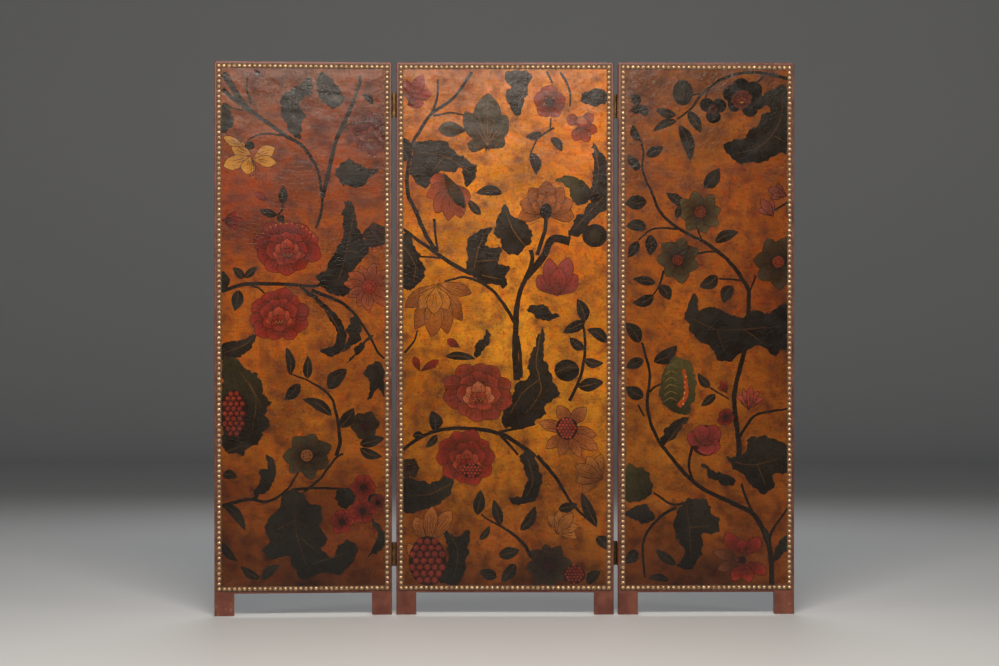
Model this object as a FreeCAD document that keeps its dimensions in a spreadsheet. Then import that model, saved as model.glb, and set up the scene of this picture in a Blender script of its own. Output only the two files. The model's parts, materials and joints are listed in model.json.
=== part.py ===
"""Three-fold folding screen: a wide centre panel and two narrower wings, hinged so that they fold as a Z.

Each panel is a mortised and pegged wooden frame whose stiles run down as feet. Painted canvas is stretched
over the front under braid and a close row of dome nails, and a plain lining is tacked to the back.

Frame of the part, in millimetres: +X to the right and +Z up for someone who faces the painted side, which
looks towards -Y. The origin is on the floor, at the middle of the ground that the open screen stands on. At
rest the left wing stands a little forward and the right wing a little back, which keeps a folding screen on
its feet.
"""

import FreeCAD, Part
import math
import os

import Sketcher

V = FreeCAD.Vector
Z_AXIS = V(0, 0, 1)

# ---- driving dimensions, in millimetres and degrees: alias, value, what it is ----------------------------
DIMENSIONS = (
    ("screen_height", 1625, "floor to the top edge of every panel"),
    ("centre_width", 640, "centre panel, edge to edge"),
    ("wing_width", 520, "each wing, edge to edge"),
    ("panel_gap", 12, "between panels when the screen is flat; also the hinge barrel's diameter"),
    ("left_rest_angle", 5, "degrees that the left wing stands forward of flat at rest"),
    ("right_rest_angle", 2, "degrees that the right wing stands back from flat at rest"),
    ("frame_depth", 30, "thickness of the wooden frames"),
    ("stile_width", 58, "stiles, which are also the feet"),
    ("rail_width", 58, "rails"),
    ("foot_height", 65, "clear height under the bottom rail"),
    ("corner_radius", 8, "rounding of each panel's two top corners"),
    ("arris_radius", 3, "rounding along a panel's outer edges"),
    ("tenon_length", 36, "tenon beyond its shoulder"),
    ("tenon_thickness", 10, "tenon, front to back"),
    ("tenon_shoulder", 8, "step from the rail's edge down to the tenon"),
    ("joint_clearance", 0.15, "all round a tenon in its mortise"),
    ("peg_diameter", 8, "peg that locks a tenon"),
    ("peg_clearance", 0.05, "radial, peg in its hole"),
    ("edge_margin", 7, "bare wood outside the canvas and the lining"),
    ("canvas_thickness", 1.2, "painted canvas"),
    ("lining_thickness", 0.8, "back lining"),
    ("braid_width", 14, "braid under the nails"),
    ("braid_thickness", 1.0, "braid under the nails"),
    ("point_clearance", 1.0, "wood between a nail's or tack's point and a mortise"),
    ("nail_pitch", 15, "dome nails, centre to centre"),
    ("nail_head_diameter", 12, "dome nail"),
    ("nail_head_height", 3.8, "dome nail"),
    ("nail_wall", 0.8, "dome nail's sheet brass"),
    ("nail_shank_diameter", 1.8, "dome nail"),
    ("nail_point_length", 3.6, "tapered end of a dome nail's shank"),
    ("tack_pitch", 50, "lining tacks, centre to centre"),
    ("tack_head_diameter", 8, "lining tack"),
    ("tack_head_height", 1.2, "lining tack"),
    ("tack_head_bevel", 0.6, "bevel round a lining tack's head"),
    ("tack_shank_width", 1.6, "lining tack's square shank, under its head"),
    ("tack_point_width", 0.3, "lining tack's square shank, at its tip"),
    ("fold_clearance", 0.6, "from a nail's crown to the plane where two folded panels meet"),
    ("hinge_length", 68, "leaf and barrel"),
    ("leaf_thickness", 2, "hinge leaf"),
    ("leaf_reach", 25, "leaf on the wood, from the panel's face inwards"),
    ("knuckle_clearance", 0.3, "between a knuckle and the leaf or knuckle beside it"),
    ("pin_diameter", 6, "hinge pin"),
    ("pin_clearance", 0.05, "radial, pin in its knuckles"),
    ("pin_cap_height", 2.5, "cap on the pin"),
    ("pin_cap_rounding", 1.5, "rounding of the cap's rim"),
    ("upper_hinge_drop", 128, "top edge down to the middle of the upper hinge"),
    ("lower_hinge_rise", 178, "floor up to the middle of the lower hinge"),
    ("screw_diameter", 3.5, "hinge screw's shank"),
    ("screw_head_diameter", 7, "hinge screw's countersunk head"),
    ("screw_length", 22, "hinge screw"),
    ("screw_point_length", 5, "tapered end of a hinge screw"),
    ("screw_clearance", 0.1, "radial, screw in its leaf"),
    ("screw_spacing", 24.5, "hinge screws, centre to centre along the leaf"),
)

doc = FreeCAD.newDocument("folding_screen")
sheet = doc.addObject("Spreadsheet::Sheet", "sizes")
for row, (alias, value, meaning) in enumerate(DIMENSIONS, start=1):
    sheet.set(f"A{row}", meaning)
    sheet.set(f"B{row}", str(value))
    sheet.setAlias(f"B{row}", alias)
doc.recompute()


def size(alias):
    """A driving dimension's value, for geometry that is worked out in code."""
    return float(sheet.get(alias))


# ---- places that follow from the driving dimensions ------------------------------------------------------
HALF_DEPTH = size("frame_depth") / 2
COVER_BOTTOM = size("foot_height") + size("edge_margin")
COVER_TOP = size("screen_height") - size("edge_margin")
NAIL_LINE = size("edge_margin") + size("braid_width") / 2
FRONT_LAYERS = size("canvas_thickness") + size("braid_thickness")
# wood in front of a mortise, and as much behind it, that a nail or a tack may be driven into
BITE = HALF_DEPTH - size("tenon_thickness") / 2 - size("joint_clearance") - size("point_clearance")
# Each rail: its name and the height of its middle.
BOTTOM_RAIL = size("foot_height") + size("rail_width") / 2
TOP_RAIL = size("screen_height") - size("rail_width") / 2
RAILS = (
    ("bottom_rail", BOTTOM_RAIL),
    ("middle_rail", (BOTTOM_RAIL + TOP_RAIL) / 2),
    ("top_rail", TOP_RAIL),
)
# The barrel's axis stands off the wood by more than a nail head does, so that panels can fold face to face.
PIN_STANDOFF = FRONT_LAYERS + size("nail_head_height") + size("fold_clearance")
STANDOFF = "(sizes.canvas_thickness + sizes.braid_thickness + sizes.nail_head_height + sizes.fold_clearance)"
BARREL_RADIUS = size("panel_gap") / 2
HINGE_X = size("centre_width") / 2 + BARREL_RADIUS
HINGE_Y = HALF_DEPTH + PIN_STANDOFF
HINGES = (
    ("upper", size("screen_height") - size("upper_hinge_drop")),
    ("lower", size("lower_hinge_rise")),
)
KNUCKLES = 3
# Each wing: its side of the centre panel, and how far it is swung from flat at rest, in degrees about +Z.
# The left hinges have their barrels in front and the right ones behind: the same hinge, turned half round.
# So a positive swing folds the left wing forwards and the right wing backwards.
WINGS = {
    "left": (-1, size("left_rest_angle")),
    "right": (1, size("right_rest_angle")),
}
WING_MIDDLE = size("centre_width") / 2 + size("panel_gap") + size("wing_width") / 2
# Each panel: its name, the alias of its width, and the x of its middle when the screen is flat.
PANELS = (
    ("left", "wing_width", -WING_MIDDLE),
    ("centre", "centre_width", 0.0),
    ("right", "wing_width", WING_MIDDLE),
)


def moved(x=0.0, y=0.0, z=0.0, turn=0.0):
    """A Placement: a turn about Z, in degrees, and then a move."""
    return FreeCAD.Placement(V(x, y, z), FreeCAD.Rotation(Z_AXIS, turn))


def outer_reach(wing):
    """How far a wing's outer edge stands out of the centre panel's plane at rest."""
    return (size("wing_width") + BARREL_RADIUS) * math.sin(math.radians(WINGS[wing][1]))


# The centre panel stands behind the origin by half the difference between the wings' reaches.
CENTRE_PLANE = moved(y=(outer_reach("left") - outer_reach("right")) / 2)


def at_rest(panel):
    """Takes what is modelled with the screen flat and its middle plane at y = 0 to the panel's rest pose."""
    if panel == "centre":
        return CENTRE_PLANE
    side, angle = WINGS[panel]
    pin = V(side * HINGE_X, side * HINGE_Y, 0)
    return CENTRE_PLANE * FreeCAD.Placement(V(), FreeCAD.Rotation(Z_AXIS, angle), pin)


# ---- helpers ---------------------------------------------------------------------------------------------
def new_body(name):
    """An empty PartDesign body whose Label will name its file."""
    body = doc.addObject("PartDesign::Body", name)
    body.Label = name
    return body


def new_sketch(body, name, plane, offset=None):
    """A sketch on one of the body's own origin planes, moved along that plane's normal by an expression."""
    sketch = body.newObject("Sketcher::SketchObject", f"{body.Name}_{name}")
    support = [f for f in body.Origin.OriginFeatures if f.Role == plane]
    sketch.AttachmentSupport = [(support[0], "")]
    sketch.MapMode = "FlatFace"
    if offset:
        sketch.setExpression("AttachmentOffset.Base.z", offset)
    return sketch


def bind(sketch, kind, *args, expression):
    """Adds a dimensional constraint and ties it to the sheet."""
    index = sketch.addConstraint(Sketcher.Constraint(kind, *args, 1.0))
    sketch.setExpression(f"Constraints[{index}]", expression)


def place_point(sketch, geometry, position, place):
    """Ties a point to the sketch's origin. place is (x, y): expressions, or None for a place on that axis."""
    x, y = place
    if x is None:
        sketch.addConstraint(Sketcher.Constraint("PointOnObject", geometry, position, -2))
    else:
        bind(sketch, "DistanceX", -1, 1, geometry, position, expression=x)
    if y is None:
        sketch.addConstraint(Sketcher.Constraint("PointOnObject", geometry, position, -1))
    else:
        bind(sketch, "DistanceY", -1, 1, geometry, position, expression=y)


def add_rectangle(sketch, centre, width, height):
    """A rectangle whose centre, width and height are expressions, as place_point takes them."""
    corners = (V(100, 100, 0), V(110, 100, 0), V(110, 110, 0), V(100, 110, 0))
    first = sketch.GeometryCount
    for i in range(4):
        sketch.addGeometry(Part.LineSegment(corners[i], corners[(i + 1) % 4]), False)
    for i, kind in enumerate(("Horizontal", "Vertical", "Horizontal", "Vertical")):
        sketch.addConstraint(Sketcher.Constraint("Coincident", first + i, 2, first + (i + 1) % 4, 1))
        sketch.addConstraint(Sketcher.Constraint(kind, first + i))
    bind(sketch, "DistanceX", first, 1, first, 2, expression=width)
    bind(sketch, "DistanceY", first + 1, 1, first + 1, 2, expression=height)
    middle = sketch.addGeometry(Part.Point(V(105, 105, 0)), True)
    sketch.addConstraint(Sketcher.Constraint("Symmetric", first, 1, first + 1, 2, middle, 1))
    place_point(sketch, middle, 1, centre)


def add_circle(sketch, centre, diameter):
    """A circle whose centre and diameter are expressions, as place_point takes them."""
    index = sketch.addGeometry(Part.Circle(V(50, 50, 0), Z_AXIS, 5), False)
    bind(sketch, "Diameter", index, expression=diameter)
    place_point(sketch, index, 3, centre)


def pad(body, sketch, length, both_ways=False, backwards=False):
    """Pads a sketch along its normal."""
    feature = body.newObject("PartDesign::Pad", f"{sketch.Name}_pad")
    feature.Profile = sketch
    feature.setExpression("Length", length)
    feature.Midplane = both_ways
    feature.Reversed = backwards
    doc.recompute()


def pocket(body, sketch, length=None, backwards=False):
    """Cuts a sketch out of the body: by a length against its normal, or right through both ways."""
    before = body.Shape.Volume
    feature = body.newObject("PartDesign::Pocket", f"{sketch.Name}_pocket")
    feature.Profile = sketch
    if length is None:
        feature.Type = "ThroughAll"
        feature.Midplane = True
    else:
        feature.setExpression("Length", length)
        feature.Reversed = backwards
    doc.recompute()
    if not body.Shape.Volume < before:
        raise RuntimeError(f"{feature.Name} cut nothing")


def edges_where(shape, wanted):
    """Names of the edges whose ends and middle all satisfy the test."""
    names = []
    for number, edge in enumerate(shape.Edges, start=1):
        middle = edge.valueAt((edge.FirstParameter + edge.LastParameter) / 2)
        if all(wanted(p) for p in [v.Point for v in edge.Vertexes] + [middle]):
            names.append(f"Edge{number}")
    if not names:
        raise RuntimeError("no edge is where it was looked for")
    return names


def dress(body, kind, names, amount):
    """A Fillet or Chamfer on the named edges of the body's last feature."""
    base = body.Tip
    feature = body.newObject(f"PartDesign::{kind}", f"{body.Name}_{kind.lower()}")
    feature.Base = (base, names)
    feature.setExpression("Radius" if kind == "Fillet" else "Size", amount)
    doc.recompute()


def close_to(a, b):
    return math.isclose(a, b, abs_tol=1e-4)


def group(name, shapes):
    """One node that holds several separate solids."""
    feature = doc.addObject("Part::Feature", name)
    feature.Label = name
    feature.Shape = Part.makeCompound(shapes)


def placed(shape, placement):
    """A copy of a shape, placed."""
    copy = shape.copy()
    copy.Placement = placement
    return copy


# ---- wooden frame ----------------------------------------------------------------------------------------
RAIL_HEIGHTS = {
    "bottom_rail": "(sizes.foot_height + sizes.rail_width / 2)",
    "middle_rail": "((sizes.foot_height + sizes.screen_height) / 2)",
    "top_rail": "(sizes.screen_height - sizes.rail_width / 2)",
}


def round_outer_arrises(body, on_outer_edge):
    """Rounds the front and back arrises along a panel's outer edge."""
    names = edges_where(body.Shape, lambda p: close_to(abs(p.y), HALF_DEPTH) and on_outer_edge(p))
    dress(body, "Fillet", names, "sizes.arris_radius")


def stile(name):
    """A stile with its outer edge at x = 0, its inner edge at x = stile_width and its foot at z = 0.

    The inner edge has one mortise for each rail, and a peg hole crosses each mortise.
    """
    body = new_body(name)
    section = new_sketch(body, "section", "XY_Plane")
    add_rectangle(section, ("sizes.stile_width / 2", None), "sizes.stile_width", "sizes.frame_depth")
    pad(body, section, "sizes.screen_height")

    mortises = new_sketch(body, "mortises", "YZ_Plane", offset="sizes.stile_width")
    for height in RAIL_HEIGHTS.values():
        add_rectangle(
            mortises,
            (None, height),
            "sizes.tenon_thickness + 2 * sizes.joint_clearance",
            "sizes.rail_width - 2 * sizes.tenon_shoulder + 2 * sizes.joint_clearance",
        )
    pocket(body, mortises, "sizes.tenon_length + sizes.joint_clearance")

    holes = new_sketch(body, "peg_holes", "XZ_Plane")
    for height in RAIL_HEIGHTS.values():
        from_edge = "sizes.stile_width - sizes.tenon_length / 2"
        add_circle(holes, (from_edge, height), "sizes.peg_diameter + 2 * sizes.peg_clearance")
    pocket(body, holes)

    top = size("screen_height")
    corner = edges_where(body.Shape, lambda p: close_to(p.x, 0) and close_to(p.z, top))
    dress(body, "Fillet", corner, "sizes.corner_radius")
    in_corner = size("corner_radius") + 1e-4
    round_outer_arrises(body, lambda p: close_to(p.x, 0) or close_to(p.z, top) or (
        p.x < in_corner and p.z > top - in_corner
    ))
    return body


def rail(name, rail_name, width_alias):
    """A rail with a tenon at each end, centred on its own origin."""
    body = new_body(name)
    between_stiles = f"sizes.{width_alias} - 2 * sizes.stile_width"
    section = new_sketch(body, "section", "YZ_Plane")
    add_rectangle(section, (None, None), "sizes.frame_depth", "sizes.rail_width")
    pad(body, section, between_stiles, both_ways=True)
    tenons = new_sketch(body, "tenons", "YZ_Plane")
    tenon_width = "sizes.rail_width - 2 * sizes.tenon_shoulder"
    add_rectangle(tenons, (None, None), "sizes.tenon_thickness", tenon_width)
    pad(body, tenons, f"{between_stiles} + 2 * sizes.tenon_length", both_ways=True)

    holes = new_sketch(body, "peg_holes", "XZ_Plane")
    from_middle = f"(sizes.{width_alias} / 2 - sizes.stile_width + sizes.tenon_length / 2)"
    for sign in ("-", ""):
        add_circle(holes, (f"{sign}{from_middle}", None), "sizes.peg_diameter + 2 * sizes.peg_clearance")
    pocket(body, holes)

    outer_edge = {"bottom_rail": -size("rail_width") / 2, "top_rail": size("rail_width") / 2}
    if rail_name in outer_edge:
        round_outer_arrises(body, lambda p: close_to(p.z, outer_edge[rail_name]))
    return body


def peg():
    """Plain round peg along Y, flush with both faces of the frame."""
    return Part.makeCylinder(size("peg_diameter") / 2, size("frame_depth"), V(0, -HALF_DEPTH, 0), V(0, 1, 0))


def build_frame(panel, width_alias, middle):
    """Stiles, rails and pegs of one panel."""
    half_width = size(width_alias) / 2
    for side, outer_x, turn in (("left", -half_width, 0.0), ("right", half_width, 180.0)):
        made = stile(f"{panel}_{side}_stile")
        made.Placement = at_rest(panel) * moved(x=middle + outer_x, turn=turn)
    for name, height in RAILS:
        made = rail(f"{panel}_{name}", name, width_alias)
        made.Placement = at_rest(panel) * moved(x=middle, z=height)
    peg_x = half_width - size("stile_width") + size("tenon_length") / 2
    places = [moved(x=middle + sign * peg_x, z=height) for sign in (-1, 1) for _, height in RAILS]
    group(f"{panel}_pegs", [placed(peg(), at_rest(panel) * place) for place in places])


# ---- canvas, braid and lining ----------------------------------------------------------------------------
def cover(name, width_alias, thickness, on_back):
    """A flat sheet on the panel's face. Its body's origin is at the middle of the sheet, on the wood."""
    body = new_body(name)
    outline = new_sketch(body, "outline", "XZ_Plane")
    width = f"sizes.{width_alias} - 2 * sizes.edge_margin"
    height = "sizes.screen_height - sizes.foot_height - 2 * sizes.edge_margin"
    add_rectangle(outline, (None, None), width, height)
    pad(body, outline, thickness, backwards=on_back)
    return body


def braid_strips(width):
    """Four strips of braid on the plane y = 0: two run the full width, and two run between them."""
    strip = size("braid_width")
    deep = size("braid_thickness")
    left = -width / 2 + size("edge_margin")
    across = width - 2 * size("edge_margin")
    upright = COVER_TOP - COVER_BOTTOM - 2 * strip
    return [
        Part.makeBox(across, deep, strip, V(left, -deep, COVER_BOTTOM)),
        Part.makeBox(across, deep, strip, V(left, -deep, COVER_TOP - strip)),
        Part.makeBox(strip, deep, upright, V(left, -deep, COVER_BOTTOM + strip)),
        Part.makeBox(strip, deep, upright, V(-left - strip, -deep, COVER_BOTTOM + strip)),
    ]


def build_covers(panel, width_alias, middle):
    """Canvas and braid on the front, lining on the back."""
    cover_middle = (COVER_BOTTOM + COVER_TOP) / 2
    canvas = cover(f"{panel}_canvas", width_alias, "sizes.canvas_thickness", on_back=False)
    canvas.Placement = at_rest(panel) * moved(x=middle, y=-HALF_DEPTH, z=cover_middle)
    lining = cover(f"{panel}_lining", width_alias, "sizes.lining_thickness", on_back=True)
    lining.Placement = at_rest(panel) * moved(x=middle, y=HALF_DEPTH, z=cover_middle)
    place = at_rest(panel) * moved(x=middle, y=-HALF_DEPTH - size("canvas_thickness"))
    group(f"{panel}_braid", [placed(strip, place) for strip in braid_strips(size(width_alias))])


# ---- nails, tacks and screws -----------------------------------------------------------------------------
def revolved(points, bows=None):
    """A solid turned about its own Y axis from an outline of (radius, y) points.

    bows maps the index of a side to the (radius, y) point that the side bows through.
    """
    bows = bows or {}
    edges = []
    for i, start in enumerate(points):
        a = V(*start, 0)
        b = V(*points[(i + 1) % len(points)], 0)
        if i in bows:
            edges.append(Part.Arc(a, V(*bows[i], 0), b).toShape())
        else:
            edges.append(Part.LineSegment(a, b).toShape())
    return Part.Face(Part.Wire(edges)).revolve(V(0, 0, 0), V(0, 1, 0), 360)


def dome_point(rim_radius, rise, radius):
    """The (radius, y) point at a radius of a dome with its rim at y = 0 and its crown at y = -rise."""
    ball = (rim_radius**2 + rise**2) / (2 * rise)
    return radius, (ball - rise) - math.sqrt(ball**2 - radius**2)


def square_wire(width, y):
    """A square across the Y axis, centred on it."""
    half = width / 2
    corners = [V(-half, y, -half), V(half, y, -half), V(half, y, half), V(-half, y, half)]
    return Part.makePolygon(corners + corners[:1])


def dome_nail():
    """Sheet-brass dome with a pointed shank. Its rim is in the plane y = 0 and its shank runs along +Y."""
    rim = size("nail_head_diameter") / 2
    rise = size("nail_head_height")
    wall = size("nail_wall")
    shank = size("nail_shank_diameter") / 2
    tip = FRONT_LAYERS + BITE
    inner_rim = rim - wall
    inner_rise = rise - wall
    outline = [
        (0, -rise),
        (rim, 0),
        (inner_rim, 0),
        dome_point(inner_rim, inner_rise, shank),
        (shank, tip - size("nail_point_length")),
        (0, tip),
    ]
    bows = {
        0: dome_point(rim, rise, rim / 2),
        2: dome_point(inner_rim, inner_rise, (inner_rim + shank) / 2),
    }
    return revolved(outline, bows)


def lining_tack():
    """Cut tack: a flat bevelled head on a square shank that tapers to its point, seated as the dome nail is."""
    rim = size("tack_head_diameter") / 2
    rise = size("tack_head_height")
    tip = size("lining_thickness") + BITE
    bevel = size("tack_head_bevel")
    head = revolved([(0, -rise), (rim - bevel, -rise), (rim, bevel - rise), (rim, 0), (0, 0)])
    ends = [square_wire(size("tack_shank_width"), 0), square_wire(size("tack_point_width"), tip)]
    return head.fuse(Part.makeLoft(ends, True))


def hinge_screw():
    """Countersunk wood screw along +Y, with its head's flat face at y = 0."""
    head = size("screw_head_diameter") / 2
    shank = size("screw_diameter") / 2
    tip = size("screw_length")
    outline = [(0, 0), (head, 0), (shank, head - shank), (shank, tip - size("screw_point_length")), (0, tip)]
    return revolved(outline)


def along_border(width, pitch):
    """Places (x, z) evenly spaced round the nail line of a panel, one of them in each corner."""
    right = width / 2 - NAIL_LINE
    bottom = size("foot_height") + NAIL_LINE
    top = size("screen_height") - NAIL_LINE
    corners = [(-right, bottom), (right, bottom), (right, top), (-right, top)]
    places = []
    for (ax, az), (bx, bz) in zip(corners, corners[1:] + corners[:1]):
        count = max(1, round(math.hypot(bx - ax, bz - az) / pitch))
        places += [(ax + (bx - ax) * i / count, az + (bz - az) * i / count) for i in range(count)]
    return places


def build_fixings(panel, width_alias, middle):
    """Dome nails through braid, canvas and wood, and tacks through the lining."""
    width = size(width_alias)
    rim_y = -HALF_DEPTH - FRONT_LAYERS
    places = [moved(middle + x, rim_y, z) for x, z in along_border(width, size("nail_pitch"))]
    group(f"{panel}_nails", [placed(dome_nail(), at_rest(panel) * place) for place in places])
    rim_y = HALF_DEPTH + size("lining_thickness")
    places = [moved(middle + x, rim_y, z, turn=180.0) for x, z in along_border(width, size("tack_pitch"))]
    group(f"{panel}_tacks", [placed(lining_tack(), at_rest(panel) * place) for place in places])


# ---- hinges ----------------------------------------------------------------------------------------------
# A hinge is modelled about its own pin: the pin on Z, the gap's middle plane at x = 0, the wood at +y.
# The centre panel's leaf is on the +x side and has the two outer knuckles; the wing's leaf has the inner one.
KNUCKLE_LENGTH = f"(sizes.hinge_length / {KNUCKLES})"
SCREW_ROWS = (-1, 0, 1)
# The screws run down the middle of the stile's depth, clear of the nails and the tacks.
SCREW_DEPTH = f"({STANDOFF} + sizes.frame_depth / 2)"


def hinge_leaf(name, side):
    """One leaf: a plate tangent to the barrel, cut away for the other leaf's knuckles. side is +1 or -1."""
    body = new_body(name)
    sign = "" if side > 0 else "-"
    reach = f"({STANDOFF} + sizes.leaf_reach)"
    plate = new_sketch(body, "plate", "XY_Plane")
    plate_x = f"{sign}(sizes.panel_gap / 2 - sizes.leaf_thickness / 2)"
    add_rectangle(plate, (plate_x, f"{reach} / 2"), "sizes.leaf_thickness", reach)
    pad(body, plate, "sizes.hinge_length", both_ways=True)
    barrel = new_sketch(body, "barrel", "XY_Plane")
    add_circle(barrel, (None, None), "sizes.panel_gap")
    pad(body, barrel, "sizes.hinge_length", both_ways=True)

    # knuckle 1 is the wing's, so the centre's leaf is cut there, and the wing's leaf is cut at the others
    for i in range(1 if side > 0 else 0, KNUCKLES, 2):
        top = f"sizes.hinge_length / 2 - {i} * {KNUCKLE_LENGTH} + sizes.knuckle_clearance / 2"
        relief = new_sketch(body, f"relief_{i}", "XY_Plane", offset=top)
        add_circle(relief, (None, None), "sizes.panel_gap + 2 * sizes.knuckle_clearance")
        pocket(body, relief, f"{KNUCKLE_LENGTH} + sizes.knuckle_clearance")
    bore = new_sketch(body, "bore", "XY_Plane")
    add_circle(bore, (None, None), "sizes.pin_diameter + 2 * sizes.pin_clearance")
    pocket(body, bore)

    holes = new_sketch(body, "screw_holes", "YZ_Plane", offset=f"{sign}sizes.panel_gap / 2")
    for row in SCREW_ROWS:
        place = (SCREW_DEPTH, f"{row} * sizes.screw_spacing")
        add_circle(holes, place, "sizes.screw_diameter + 2 * sizes.screw_clearance")
    pocket(body, holes, "2 * sizes.leaf_thickness", backwards=side < 0)
    bare_x = side * (BARREL_RADIUS - size("leaf_thickness"))
    near_holes = size("screw_diameter")
    hole_y = HINGE_Y
    rims = edges_where(body.Shape, lambda p: close_to(p.x, bare_x) and abs(p.y - hole_y) < near_holes)
    dress(body, "Chamfer", rims, "(sizes.screw_head_diameter - sizes.screw_diameter) / 2")
    return body


def hinge_pin(name):
    """Pin with a rounded cap on its upper end, which keeps it from dropping through."""
    body = new_body(name)
    shank = new_sketch(body, "shank", "XY_Plane")
    add_circle(shank, (None, None), "sizes.pin_diameter")
    pad(body, shank, "sizes.hinge_length", both_ways=True)
    cap = new_sketch(body, "cap", "XY_Plane", offset="sizes.hinge_length / 2")
    add_circle(cap, (None, None), "sizes.panel_gap - 2 * sizes.knuckle_clearance")
    pad(body, cap, "sizes.pin_cap_height")
    top = size("hinge_length") / 2 + size("pin_cap_height")
    rim = edges_where(body.Shape, lambda p: close_to(p.z, top))
    dress(body, "Fillet", rim, "sizes.pin_cap_rounding")
    return body


def build_hinges():
    """Two hinges between the centre panel and each wing, with their pins and screws."""
    bare_face = BARREL_RADIUS - size("leaf_thickness")
    for wing, (side, _) in WINGS.items():
        half_turn = moved(turn=0.0 if side < 0 else 180.0)
        screws = {"centre": [], wing: []}
        for level, height in HINGES:
            at_pin = half_turn * moved(-HINGE_X, -HINGE_Y, height)
            leaf = hinge_leaf(f"{wing}_{level}_hinge_centre_leaf", side=1)
            leaf.Placement = at_rest("centre") * at_pin
            leaf = hinge_leaf(f"{wing}_{level}_hinge_wing_leaf", side=-1)
            leaf.Placement = at_rest(wing) * at_pin
            pin = hinge_pin(f"{wing}_{level}_hinge_pin")
            pin.Placement = at_rest("centre") * at_pin
            for row in SCREW_ROWS:
                for owner, inwards in (("centre", 1), (wing, -1)):
                    # a screw is modelled along +Y, and this quarter turn points it into the panel's edge
                    face_x = -HINGE_X + inwards * bare_face
                    seat = moved(face_x, 0, height + row * size("screw_spacing"), turn=-90.0 * inwards)
                    screws[owner].append(placed(hinge_screw(), at_rest(owner) * half_turn * seat))
        group(f"{wing}_hinge_screws_in_centre", screws["centre"])
        group(f"{wing}_hinge_screws_in_wing", screws[wing])


# ---- the whole screen ------------------------------------------------------------------------------------
def check_and_write():
    """Checks every object and writes one STEP file for each node."""
    doc.recompute()
    for thing in doc.Objects:
        if {"Invalid", "Error"} & set(thing.State):
            raise RuntimeError(f"{thing.Name} failed: {thing.State}")
    nodes = [o for o in doc.Objects if o.TypeId in ("PartDesign::Body", "Part::Feature")]
    for node in nodes:
        if node.Shape.isNull() or not node.Shape.isValid():
            raise RuntimeError(f"{node.Label} has no valid shape")
    os.makedirs("parts", exist_ok=True)
    for node in nodes:
        node.Shape.exportStep(f"parts/{node.Label}.step")
        print(f"{node.Label}: {len(node.Shape.Solids)} solid(s), {node.Shape.Volume / 1000:.1f} cm3")


for panel_name, width_name, panel_middle in PANELS:
    build_frame(panel_name, width_name, panel_middle)
    build_covers(panel_name, width_name, panel_middle)
    build_fixings(panel_name, width_name, panel_middle)
build_hinges()
check_and_write()
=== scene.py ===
# %% [markdown]
# # A painted folding screen, dressed
# The CAD frame gives the wooden panels, the hinges and every size. This lesson adds what CAD can't show:
# painted canvas, dome nails, braid, lining cloth and the finish of each surface. Everything is placed from
# the frame.

# %% The frame
import json
import math
import random

import bpy
import numpy as np
from mathutils import Matrix, Vector, geometry, noise


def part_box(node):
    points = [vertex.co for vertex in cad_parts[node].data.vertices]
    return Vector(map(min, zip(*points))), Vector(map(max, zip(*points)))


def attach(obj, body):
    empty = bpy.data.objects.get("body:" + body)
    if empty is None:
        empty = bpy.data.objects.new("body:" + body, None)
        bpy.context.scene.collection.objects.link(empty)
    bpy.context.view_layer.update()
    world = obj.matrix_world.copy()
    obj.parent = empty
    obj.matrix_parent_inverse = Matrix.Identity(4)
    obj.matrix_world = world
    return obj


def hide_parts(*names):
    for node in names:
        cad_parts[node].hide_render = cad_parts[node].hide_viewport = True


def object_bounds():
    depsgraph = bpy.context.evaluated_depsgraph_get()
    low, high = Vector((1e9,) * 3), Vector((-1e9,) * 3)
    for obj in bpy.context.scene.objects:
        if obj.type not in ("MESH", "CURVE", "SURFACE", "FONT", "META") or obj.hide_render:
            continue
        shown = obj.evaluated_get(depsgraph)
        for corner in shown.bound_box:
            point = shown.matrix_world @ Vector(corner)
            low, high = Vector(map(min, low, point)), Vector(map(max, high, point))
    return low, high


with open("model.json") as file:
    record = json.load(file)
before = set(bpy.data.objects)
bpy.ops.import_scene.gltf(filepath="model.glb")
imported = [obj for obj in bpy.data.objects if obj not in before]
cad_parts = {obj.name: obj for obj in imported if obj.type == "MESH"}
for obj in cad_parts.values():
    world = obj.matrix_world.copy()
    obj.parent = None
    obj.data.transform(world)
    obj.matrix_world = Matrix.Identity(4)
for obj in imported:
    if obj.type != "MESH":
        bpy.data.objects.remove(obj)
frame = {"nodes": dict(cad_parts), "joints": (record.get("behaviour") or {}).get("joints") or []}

CAD_BOX = [list(corner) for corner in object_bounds()]
MM = 0.001
nodes = frame["nodes"]
print("CAD box, metres:", CAD_BOX)

# %% [markdown]
# Each panel is easiest to dress lying square: x across from its middle, z up from the floor, and y = 0 at
# the middle of its frame. The wings stand turned at rest, so each panel gets a matrix from that square
# place to where the CAD has it. A wing's turn at rest is what its hinge lacks of a half turn at its upper
# limit, and its middle comes from turning its canvas back and measuring it.

# %% Panels, measured on the frame
BODIES = {"left": "left_wing", "centre": "centre_panel", "right": "right_wing"}
joints = {joint["child"]: joint for joint in frame["joints"]}
panel_plane = sum(corner.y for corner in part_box("centre_left_stile")) / 2


def square_box(node, to_square):
    """A node's lowest and highest corners in millimetres, seen square on."""
    points = np.array([to_square @ vertex.co for vertex in nodes[node].data.vertices]) / MM
    return points.min(0), points.max(0)


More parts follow.
